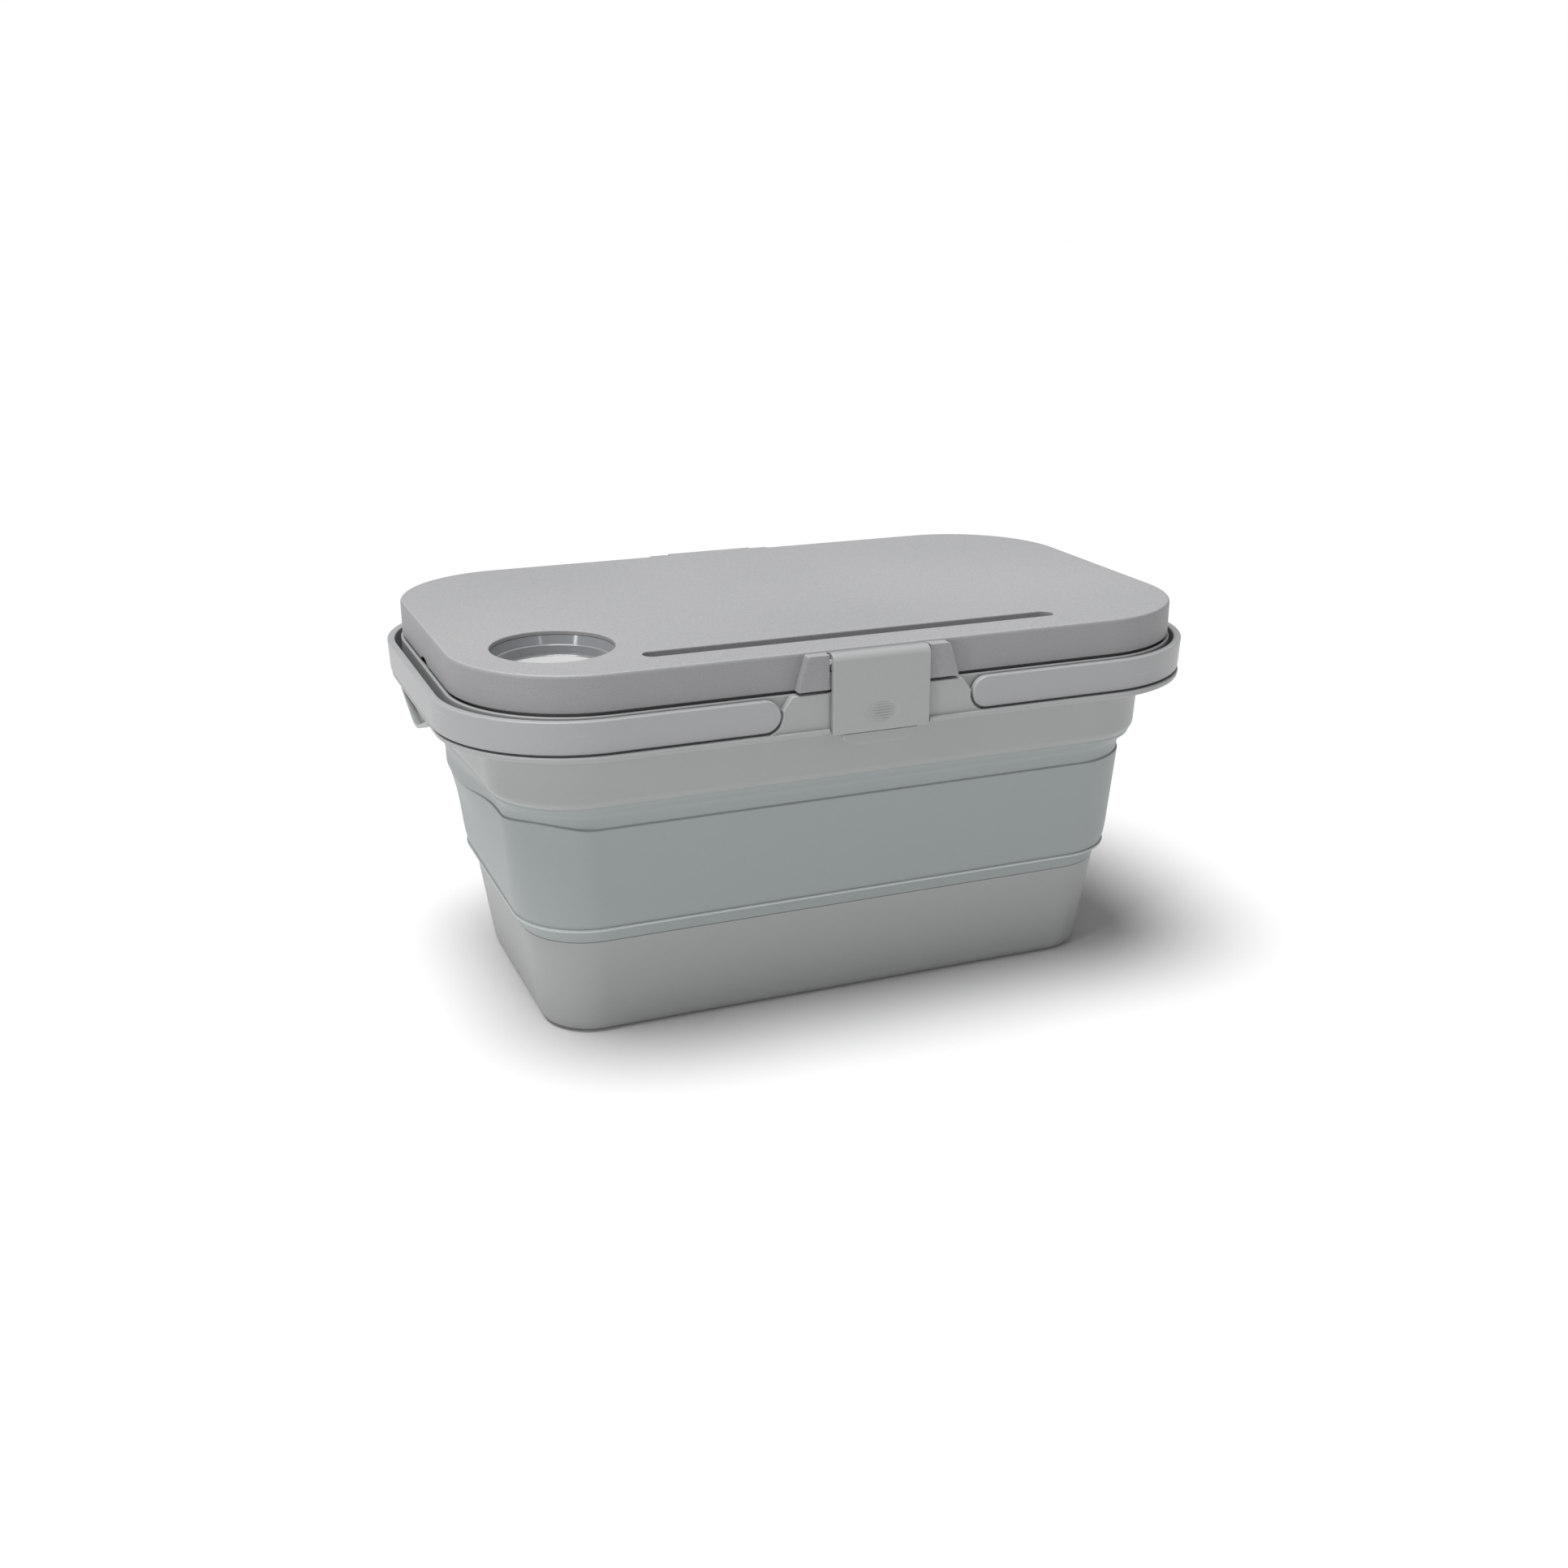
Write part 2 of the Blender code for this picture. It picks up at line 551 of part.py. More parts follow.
def make_cup_insert():
    """The cup holder's liner, welded under the hole in the lid."""
    top = LID_UNDERSIDE - GAP
    flange_foot = top - CUP_WALL
    step_level = LID_TOP - CUP_BAND_DEPTH
    floor = LID_TOP - CUP_DEPTH
    outer = CUP_RADIUS + CUP_WALL
    profile = [
        (0.0, floor),
        (CUP_RADIUS - CUP_STEP, floor),
        (CUP_RADIUS - CUP_STEP, step_level),
        (CUP_RADIUS, step_level),
        (CUP_RADIUS, top),
        (CUP_RADIUS + CUP_FLANGE, top),
        (CUP_RADIUS + CUP_FLANGE, flange_foot),
        (outer, flange_foot),
        (outer, floor - CUP_WALL),
        (0.0, floor - CUP_WALL),
    ]
    return finish_piece(turned("cup_holder_insert", profile, CUP_STEPS, CUP_CENTRE), GLOSS_GREY)


def make_latch(side, sign):
    """A latch plate with a round knuckle on its pin and a shallow finger pad."""
    pivot = (0, sign * LATCH_PIN_Y, LATCH_PIN_LEVEL)
    outer = LATCH_PIN_Y + LATCH_KNUCKLE
    near, far = sorted((sign * LATCH_BACK, sign * outer))
    half = LATCH_WIDTH / 2
    latch = box(side + "_latch", (-half, near, LATCH_FOOT), (half, far, LATCH_PIN_LEVEL), COLLECTION)
    edges = latch.modifiers.new("edges", "BEVEL")
    edges.width = LATCH_EDGE_ROUND
    edges.segments = 2
    knuckle = rod(side + "_knuckle", LATCH_KNUCKLE, LATCH_WIDTH, pivot, "X", 24)
    combine(latch, knuckle, "UNION")
    bore = rod(side + "_latch_bore", LATCH_PIN_RADIUS + PIN_CLEARANCE, 2 * LATCH_WIDTH, pivot, "X", 16)
    combine(latch, bore, "DIFFERENCE")
    pad_width, pad_height = GRIP_PAD_SIZE
    pad = rod(side + "_pad", 0.5, 2 * GRIP_PAD_DEPTH, (0, 0, 0), "Y", 32)
    pad.data.transform(Matrix.Diagonal((pad_width, 1.0, pad_height, 1.0)))
    pad.data.transform(Matrix.Translation((0, sign * outer, LATCH_FOOT + GRIP_PAD_HEIGHT)))
    combine(latch, pad, "DIFFERENCE")
    latch.data.transform(Matrix.Translation((0, -pivot[1], -pivot[2])))
    latch.location = pivot
    return finish_piece(latch, HANDLE_GREY)


def make_latch_pin(side, sign):
    """The pin through a latch's knuckle, held in both cheeks of the boss."""
    length = LATCH_WIDTH + 2 * (LATCH_SIDE_GAP + LATCH_PIN_EMBED)
    pin = rod(side + "_latch_pin", LATCH_PIN_RADIUS, length, (0, 0, 0), "X", 16, COLLECTION)
    pin.location = (0, sign * LATCH_PIN_Y, LATCH_PIN_LEVEL)
    return finish_piece(pin, HANDLE_GREY)


def handle_route():
    """Stations of the left handle in plan: point, outward direction and half height."""
    half_length = RIM_HALF_LENGTH + HANDLE_END_GAP + HANDLE_THICKNESS
    tip = HANDLE_HEIGHT / 2
    stations = []
    for step in range(HANDLE_TIP_STEPS):
        angle = math.radians(90) * (step + 0.5) / HANDLE_TIP_STEPS
        across = -PIVOT_OFFSET + tip * math.cos(angle)
        stations.append(((across, -HANDLE_HALF_WIDTH), (0, -1), tip * math.sin(angle)))
    stations.append(((-PIVOT_OFFSET, -HANDLE_HALF_WIDTH), (0, -1), tip))
    centre_x = half_length - HANDLE_CORNER
    centre_y = HANDLE_HALF_WIDTH - HANDLE_CORNER
    for quarter, sign_y in ((270, -1), (180, 1)):
        for step in range(CORNER_STEPS + 1):
            angle = math.radians(quarter - 90 * step / CORNER_STEPS)
            outward = (math.cos(angle), math.sin(angle))
            point = (-centre_x + HANDLE_CORNER * outward[0], sign_y * centre_y + HANDLE_CORNER * outward[1])
            stations.append((point, outward, tip))
    mirrored = [((x, -y), (nx, -ny), height)
                for (x, y), (nx, ny), height in reversed(stations[:HANDLE_TIP_STEPS + 1])]
    return stations + mirrored


def make_handle(end, sign):
    """A U-shaped band around one end, with round tips and a blind hole for each pin."""
    rings = []
    for (x, y), (out_x, out_y), height in handle_route():
        ring = []
        for pull, level in ((0, height), (0, -height), (HANDLE_THICKNESS, -height), (HANDLE_THICKNESS, height)):
            if pull == 0:
                pull = HANDLE_DRAFT * (1 - level / (HANDLE_HEIGHT / 2)) / 2
            ring.append((x - out_x * pull, y - out_y * pull, PIVOT_LEVEL + level))
        rings.append(ring)
    handle = add_object(end + "_handle", loft(end + "_handle", rings, False))
    if sign > 0:
        handle.data.transform(Matrix.Rotation(math.radians(180), 4, "Z"))
    pivot_x = sign * PIVOT_OFFSET
    for side, side_sign in both_sides():
        centre = (pivot_x, side_sign * (HANDLE_HALF_WIDTH - HANDLE_THICKNESS), PIVOT_LEVEL)
        depth = 2 * (PIVOT_EMBED + GAP)
        hole = rod(end + "_handle_hole_" + side, PIVOT_RADIUS + GAP, depth, centre, "Y")
        combine(handle, hole, "DIFFERENCE")
    handle.data.transform(Matrix.Translation((-pivot_x, 0, -PIVOT_LEVEL)))
    handle.location = (pivot_x, 0, PIVOT_LEVEL)
    return finish_piece(handle, HANDLE_GREY)


def make_pivots(end, end_sign):
    """The pins that one handle turns on, each with a retaining clip inside the rim."""
    for side, sign in both_sides():
        outer = HANDLE_HALF_WIDTH - HANDLE_THICKNESS + PIVOT_EMBED
        inner = RIM_HALF_WIDTH - RIM_WALL - 2 * GAP - CLIP_THICKNESS
        name = end + "_" + side + "_pivot"
        spot = (end_sign * PIVOT_OFFSET, sign * (outer + inner) / 2, PIVOT_LEVEL)
        pin = rod(name + "_pin", PIVOT_RADIUS, outer - inner, (0, 0, 0), "Y", 20, COLLECTION)
        pin.location = spot
        finish_piece(pin, HANDLE_GREY)
        clip_y = sign * (inner + CLIP_THICKNESS / 2)
        clip = rod(name + "_clip", CLIP_RADIUS, CLIP_THICKNESS, (0, 0, 0), "Y", 24, COLLECTION)
        clip.location = (end_sign * PIVOT_OFFSET, clip_y, PIVOT_LEVEL)
        bore = rod(name + "_clip_bore", PIVOT_RADIUS + GAP, 4 * CLIP_THICKNESS, tuple(clip.location), "Y")
        combine(clip, bore, "DIFFERENCE")
        finish_piece(clip, HANDLE_GREY)


def main():
    """Builds the whole crate."""
    clear_scene()
    make_base_tub()
    make_folding_wall()
    make_upper_collar()
    make_rim_frame()
    make_lid()
    make_cup_insert()
    for side, sign in both_sides():
        make_latch(side, sign)
        make_latch_pin(side, sign)
    for end, sign in both_ends():
        make_handle(end, sign)
        make_pivots(end, sign)


main()
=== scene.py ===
"""Looks of a collapsible storage crate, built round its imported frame.

Each sub-assembly is a class: its sizes are dataclass fields, its methods build
the meshes and dress them.  All sizes are in metres unless a name says otherwise.
"""

import logging
import math
from dataclasses import dataclass, field, replace
from enum import Enum
from typing import Callable, Optional, Sequence

import bmesh
import bpy
from mathutils import Euler, Matrix, Vector


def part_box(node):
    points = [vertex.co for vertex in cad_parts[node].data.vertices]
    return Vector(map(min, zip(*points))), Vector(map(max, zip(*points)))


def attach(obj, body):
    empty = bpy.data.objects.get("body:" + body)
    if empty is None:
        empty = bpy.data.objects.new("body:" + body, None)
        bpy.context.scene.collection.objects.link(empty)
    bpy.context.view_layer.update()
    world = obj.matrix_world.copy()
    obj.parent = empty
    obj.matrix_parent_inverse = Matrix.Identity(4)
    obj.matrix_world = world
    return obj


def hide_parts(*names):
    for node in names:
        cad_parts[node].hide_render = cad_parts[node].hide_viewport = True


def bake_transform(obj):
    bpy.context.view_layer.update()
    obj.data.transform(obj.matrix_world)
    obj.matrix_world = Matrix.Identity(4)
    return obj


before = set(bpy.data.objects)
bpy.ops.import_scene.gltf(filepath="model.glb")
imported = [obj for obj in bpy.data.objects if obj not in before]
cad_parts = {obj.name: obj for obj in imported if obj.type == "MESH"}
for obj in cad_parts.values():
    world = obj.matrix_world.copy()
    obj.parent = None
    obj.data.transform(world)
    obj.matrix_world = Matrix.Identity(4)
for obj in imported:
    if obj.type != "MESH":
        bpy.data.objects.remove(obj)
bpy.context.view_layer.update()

LOG = logging.getLogger("crate")
MM = 0.001
# Further from the crate's middle than any piece's long side.
OUTSIDE = 160 * MM
# Sizes that two pieces share.
NOTCH_HALF = 31.3 * MM
NOTCH_FACE = 142.4 * MM
PIVOT_OFFSET = 69.5 * MM
PIVOT_HOLE_RADIUS = 3.3 * MM
CUP_CENTRE = (-170 * MM, -70.4 * MM)
CUP_RADIUS = 35.3 * MM

Point2 = tuple[float, float]
Point3 = tuple[float, float, float]


class Side(Enum):
    """The two long sides of the crate; the value is the sign of Y."""

    FRONT = -1
    REAR = 1


class End(Enum):
    """The two short ends of the crate; the value is the sign of X."""

    LEFT = -1
    RIGHT = 1


# ---------------------------------------------------------------------------
# Plan, profiles and meshes
# ---------------------------------------------------------------------------


@dataclass(frozen=True)
class Spot:
    """A place on a rounded outline.

    Attributes:
        quarter: the corner that it lies on or after, anticlockwise from +X +Y.
        share: how far along the corner's arc, or along the straight after it.
        straight: whether it lies on the straight after the corner.
    """

    quarter: int
    share: float
    straight: bool = False

    def corner_weight(self) -> float:
        """Returns 0 at both ends of a corner's arc and most in its middle, less at the +X end."""
        most = 1.0 if self.quarter in (1, 2) else 0.15
        return 0.0 if self.straight else most * abs(math.sin(math.pi * self.share)) ** 1.5

    def ridge_weight(self) -> float:
        """Returns the shape of an unfolded corner: a ridge near the long side, then a hollow."""
        if self.straight:
            return 0.0
        away = self.share if self.quarter % 2 else 1 - self.share
        ridge = math.exp(-((away - 0.12) / 0.10) ** 2)
        hollow = math.exp(-((away - 0.55) / 0.22) ** 2)
        return (1.0 if self.quarter in (1, 2) else 0.3) * (ridge - 0.9 * hollow)


@dataclass(frozen=True)
class Plan:
    """The lid's rounded outline, which every other outline is inset from.

    Attributes:
        length: length of the outline.
        width: width of the outline.
        corner: its corner radius.
        corner_steps: facets in each corner.
        end_steps: facets along each short end.
        end_reach: how far to each side the sag and bulge of a short end reach.
        end_centre: how far towards the rear they lie.
    """

    length: float
    width: float
    corner: float
    corner_steps: int = 24
    end_steps: int = 24
    end_reach: float = 100 * MM
    end_centre: float = 42 * MM

    def spots(self) -> list[Spot]:
        """Lists the places of every outline's points, anticlockwise from the +X end."""
        found = []
        for quarter in range(4):
            found += [Spot(quarter, step / self.corner_steps) for step in range(self.corner_steps + 1)]
            if quarter % 2:
                found += [Spot(quarter, step / self.end_steps, True) for step in range(1, self.end_steps)]
        return found

    def outline(self, inset_x: float, inset_y: float, corner: float,
                push: Callable[[Spot, float], float] = lambda spot, y: 0.0) -> list[Point2]:
        """Lists the points of an inset outline.

        Args:
            inset_x: inset from the short ends, negative to stand outside.
            inset_y: inset from the long sides.
            corner: corner radius of the inset outline.
            push: how far each point is pushed outwards.

        Returns:
            Points in plan, in the order of spots().
        """
        points = []
        half_x = self.length / 2 - inset_x - corner
        half_y = self.width / 2 - inset_y - corner
        signs = ((1, 1), (-1, 1), (-1, -1), (1, -1))
        for spot in self.spots():
            sign_x, sign_y = signs[spot.quarter]
            if spot.straight:
                out = (float(sign_x), 0.0)
                x = sign_x * (half_x + corner)
                y = sign_y * half_y * (1 - 2 * spot.share)
            else:
                angle = math.pi / 2 * (spot.quarter + spot.share)
                out = (math.cos(angle), math.sin(angle))
                x = sign_x * half_x + corner * out[0]
                y = sign_y * half_y + corner * out[1]
            shift = push(spot, y)
            points.append((x + shift * out[0], y + shift * out[1]))
        return points

    def end_weight(self, y: float) -> float:
        """Returns 1 where a short end sags most, falling to 0 towards its corners."""
        return 0.5 * (1 + math.cos(math.pi * min(1.0, abs(y - self.end_centre) / self.end_reach)))


@dataclass(frozen=True)
class Level:
    """A station of a shell's profile.

    Attributes:
        inset: inset from the lid's outline.
        height: height above the floor.
        corner: corner radius of the outline there.
        fillet: how far the station's edge is rounded off along the profile.
        lift: how much the station rises in the middle of each corner.
        slim: extra inset across the width.
        sag: how much the station hangs down in the middle of each short end.
        bulge: how much it stands out there.
        ridge: how much it stands out where a corner's arc starts on a long side.
    """

    inset: float
    height: float
    corner: float
    fillet: float = 0.0
    lift: float = 0.0
    slim: float = 0.0
    sag: float = 0.0
    bulge: float = 0.0
    ridge: float = 0.0

    def mixed(self, other: "Level", share: float) -> "Level":
        """Returns the station a share of the way towards another one."""
        values = [a + (b - a) * share for a, b in zip(self.values(), other.values())]
        return Level(*values)

    def values(self) -> tuple[float, ...]:
        """Returns the station's numbers in the order of its fields."""
        return (self.inset, self.height, self.corner, self.fillet, self.lift, self.slim,
                self.sag, self.bulge, self.ridge)

    def distance(self, other: "Level") -> float:
        """Measures along the profile to another station."""
        return math.hypot(self.inset - other.inset, self.height - other.height)


def softened(levels: Sequence[Level], closed: bool, steps: int = 5) -> list[Level]:
    """Rounds off the stations that have a fillet.

    Args:
        levels: the profile's stations in order.
        closed: whether the last station joins the first.
        steps: facets in each rounding.

    Returns:
        The stations of the rounded profile.
    """
    result: list[Level] = []
    count = len(levels)
    for index, level in enumerate(levels):
        inner = closed or 0 < index < count - 1
        if not inner or level.fillet <= 0:
            result.append(level)
            continue
        before = levels[index - 1]
        after = levels[(index + 1) % count]
        reach_before = min(level.fillet, 0.49 * level.distance(before)) / max(level.distance(before), 1e-9)
        reach_after = min(level.fillet, 0.49 * level.distance(after)) / max(level.distance(after), 1e-9)
        start = level.mixed(before, reach_before)
        stop = level.mixed(after, reach_after)
        for step in range(steps + 1):
            share = step / steps
            result.append(start.mixed(level, share).mixed(level.mixed(stop, share), share))
    return result


def refined(levels: Sequence[Level], spacing: float) -> list[Level]:
    """Adds stations so that none are further apart than the spacing."""
    result = [levels[0]]
    for before, after in zip(levels, levels[1:]):
        pieces = max(1, math.ceil(before.distance(after) / spacing))
        result += [before.mixed(after, step / pieces) for step in range(1, pieces + 1)]
    return result


def walled(outside: Sequence[Level], wall: float) -> list[Level]:
    """Closes an outer profile with an inner one, a wall's thickness inside it."""
    inside = [replace(level, inset=level.inset + wall, corner=max(level.corner - wall, 2 * MM))
              for level in reversed(outside)]
    return list(outside) + inside


def outward_mesh(name: str, form: bmesh.types.BMesh) -> bpy.types.Mesh:
    """Turns an edit mesh into a mesh whose faces point outwards."""
    bmesh.ops.recalc_face_normals(form, faces=form.faces)
    mesh = bpy.data.meshes.new(name)
    form.to_mesh(mesh)
    form.free()
    return mesh


def skin(form: bmesh.types.BMesh, lower: Sequence[bmesh.types.BMVert],
         upper: Sequence[bmesh.types.BMVert]) -> None:
    """Joins two rings of points with quads.

    Args:
        form: the edit mesh that holds them.
        lower: the first ring.
        upper: the second ring, with as many points.
    """
    count = len(lower)
    for index in range(count):
        after = (index + 1) % count
        form.faces.new((lower[index], lower[after], upper[after], upper[index]))


def mirrored(half: Sequence[Point2]) -> list[Point2]:
    """Completes half an outline with its mirror image in the first axis."""
    return [*half, *((-x, z) for x, z in reversed(half))]


def lofted(name: str, plan: Plan, levels: Sequence[Level], closed: bool) -> bpy.types.Mesh:
    """Skins a profile round the plan.

    Args:
        name: name of the mesh.
        plan: the outline that the profile runs round.
        levels: the profile's stations.
        closed: joins the last ring to the first; otherwise both ends are capped.

    Returns:
        A closed mesh.
    """
    form = bmesh.new()
    rows = []
    spots = plan.spots()
    for level in levels:
        outline = plan.outline(level.inset, level.inset + level.slim, level.corner,
                               lambda spot, y: (level.bulge * plan.end_weight(y)
                                                + level.ridge * spot.ridge_weight()))
        rows.append([form.verts.new((x, y, level.height + level.lift * spot.corner_weight()
                                     - level.sag * plan.end_weight(y)))
                     for spot, (x, y) in zip(spots, outline)])
    pairs = list(zip(rows, rows[1:]))
    if closed:
        pairs.append((rows[-1], rows[0]))
    else:
        form.faces.new(rows[0])
        form.faces.new(rows[-1])
    for lower, upper in pairs:
        skin(form, lower, upper)
    return outward_mesh(name, form)


def turned(name: str, profile: Sequence[Point2], centre: Point2, steps: int = 96) -> bpy.types.Mesh:
    """Turns a profile that starts and ends on a vertical axis.

    Args:
        name: name of the mesh.
        profile: (radius, height) points, the first and last at radius 0.
        centre: the axis in plan.
        steps: facets round the axis.

    Returns:
        A closed mesh.
    """
    form = bmesh.new()
    rings = []
    for radius, height in profile[1:-1]:
        rings.append([form.verts.new((centre[0] + radius * math.cos(math.tau * step / steps),
                                      centre[1] + radius * math.sin(math.tau * step / steps), height))
                      for step in range(steps)])
    for ring, (_, height), flip in ((rings[0], profile[0], False), (rings[-1], profile[-1], True)):
        pole = form.verts.new((*centre, height))
        for index in range(steps):
            corners = (pole, ring[index], ring[(index + 1) % steps])
            form.faces.new(corners if flip else corners[::-1])
    for lower, upper in zip(rings, rings[1:]):
        skin(form, lower, upper)
    return outward_mesh(name, form)


def rounded_path(points: Sequence[Point2], radii: Sequence[float], steps: int = 6) -> list[Point2]:
    """Rounds the corners of a closed outline.

    Args:
        points: the outline's corners in order.
        radii: the rounding's reach at each corner.
        steps: facets in each rounding.

    Returns:
        The rounded outline.
    """
    result: list[Point2] = []
    count = len(points)
    for index, radius in enumerate(radii):
        here = Vector(points[index])
        before = Vector(points[index - 1])
        after = Vector(points[(index + 1) % count])
        if radius <= 0:
            result.append(tuple(here))
            continue
        start = here + (before - here).normalized() * radius
        stop = here + (after - here).normalized() * radius
        for step in range(steps + 1):
            share = step / steps
            point = start.lerp(here, share).lerp(here.lerp(stop, share), share)
            result.append(tuple(point))
    return result


def slab(name: str, outline: Sequence[Point2], low: float, high: float, axis: str,
         edge: float = 0.0, steps: int = 3) -> bpy.types.Mesh:
    """Extrudes a flat outline, with rounded edges.

    Args:
        name: name of the mesh.
        outline: the outline's points, read as the two axes other than the slab's own.
        low: lowest place along the axis.
        high: highest place along the axis.
        axis: "X", "Y" or "Z", the direction of the extrusion.
        edge: radius of the rounded edges.
        steps: facets in each rounded edge.

    Returns:
        A closed mesh.
    """
    form = bmesh.new()
    place = {"X": lambda a, b, c: (c, a, b),
             "Y": lambda a, b, c: (a, c, b),
             "Z": lambda a, b, c: (a, b, c)}[axis]
    base = [form.verts.new(place(a, b, low)) for a, b in outline]
    bottom = form.faces.new(base)
    lifted = bmesh.ops.extrude_face_region(form, geom=[bottom])["geom"]
    shift = Vector(place(0.0, 0.0, high - low))
    moved = [item for item in lifted if isinstance(item, bmesh.types.BMVert)]
    bmesh.ops.translate(form, vec=shift, verts=moved)
    bmesh.ops.recalc_face_normals(form, faces=form.faces)
    if edge > 0:
        rims = [item for item in form.edges if any(len(face.verts) > 4 for face in item.link_faces)]
        bmesh.ops.bevel(form, geom=rims, offset=edge, offset_type="OFFSET", segments=steps,
                        profile=0.5, affect="EDGES", clamp_overlap=True)
    return outward_mesh(name, form)


def cylinder(name: str, radius: float, centre: Point3, half: float, axis: str,
             sides: int = 48) -> bpy.types.Mesh:
    """Makes a solid cylinder centred on a point, along X, Y or Z."""
    circle = [(radius * math.cos(math.tau * step / sides), radius * math.sin(math.tau * step / sides))
              for step in range(sides)]
    mesh = slab(name, circle, -half, half, axis)
    mesh.transform(Matrix.Translation(centre))
    return mesh


def notch_cutter(name: str, side: Side, half: float, face: float, low: float,
                 high: float) -> bpy.types.Mesh:
    """Makes the block that cuts a notch into a long side of the rim or the lid.

    Args:
        name: name of the mesh.
        side: the long side.
        half: half the notch's width.
        face: distance of the notch's back face from the crate's middle.
        low: lower end of the cut.
        high: upper end of the cut.

    Returns:
        A closed block that reaches past the piece.
    """
    outline = [(half, low), (half, high), (-half, high), (-half, low)]
    near, far = sorted((side.value * face, side.value * OUTSIDE))
    return slab(name, outline, near, far, "Y")


def add_object(name: str, data: bpy.types.ID) -> bpy.types.Object:
    """Links a new object at the origin that holds a mesh, a light or a camera."""
    item = bpy.data.objects.new(name, data)
    bpy.context.scene.collection.objects.link(item)
    return item


def settled(item: bpy.types.Object) -> bpy.types.Object:
    """Applies every modifier of an object and leaves a plain mesh on it."""
    bpy.context.view_layer.update()
    graph = bpy.context.evaluated_depsgraph_get()
    mesh = bpy.data.meshes.new_from_object(item.evaluated_get(graph))
    item.modifiers.clear()
    item.data = mesh
    return item


def carved(item: bpy.types.Object, joined: Sequence[bpy.types.Mesh] = (),
           cut: Sequence[bpy.types.Mesh] = ()) -> bpy.types.Object:
    """Joins and then cuts a piece with other solids.

    Args:
        item: the piece.
        joined: solids to unite with it.
        cut: solids to take away from it, after the union.

    Returns:
        The same piece, as a plain mesh.
    """
    helpers = []
    for operation, meshes in (("UNION", joined), ("DIFFERENCE", cut)):
        for mesh in meshes:
            helper = add_object(mesh.name, mesh)
            helpers.append(helper)
            step = item.modifiers.new(operation.lower(), "BOOLEAN")
            step.operation = operation
            step.solver = "EXACT"
            step.object = helper
    settled(item)
    for helper in helpers:
        bpy.data.objects.remove(helper, do_unlink=True)
    return item


def smoothed(item: bpy.types.Object, sharp_degrees: float = 38.0) -> bpy.types.Object:
    """Shades a piece smooth, with sharp corners and normals weighted by face area."""
    item.data.shade_smooth()
    item.data.set_sharp_from_angle(angle=math.radians(sharp_degrees))
    weighted = item.modifiers.new("weighted normals", "WEIGHTED_NORMAL")
    weighted.keep_sharp = True
    weighted.weight = 80
    return settled(item)


# ---------------------------------------------------------------------------
# Finishes
# ---------------------------------------------------------------------------


def linear(hex_colour: str) -> tuple[float, float, float, float]:
    """Turns an sRGB hex colour such as "8b8d8b" into linear RGBA."""
    channels = [int(hex_colour[place:place + 2], 16) / 255 for place in (0, 2, 4)]
    curve = [value / 12.92 if value <= 0.04045 else ((value + 0.055) / 1.055) ** 2.4 for value in channels]
    return (*curve, 1.0)


def add_node(tree: bpy.types.NodeTree, kind: str, links: Optional[dict] = None,
             values: Optional[dict] = None, **settings: object) -> bpy.types.Node:
    """Adds a node with its settings, constants and links.

    Args:
        tree: the node tree.
        kind: the node's type name.
        links: input name or index to the socket that feeds it.
        values: input name or index to its constant.
        **settings: attributes set on the node itself.

    Returns:
        The new node.
    """
    node = tree.nodes.new(kind)
    for name, value in settings.items():
        setattr(node, name, value)
    for name, value in (values or {}).items():
        node.inputs[name].default_value = value
    for name, socket in (links or {}).items():
        tree.links.new(socket, node.inputs[name])
    return node


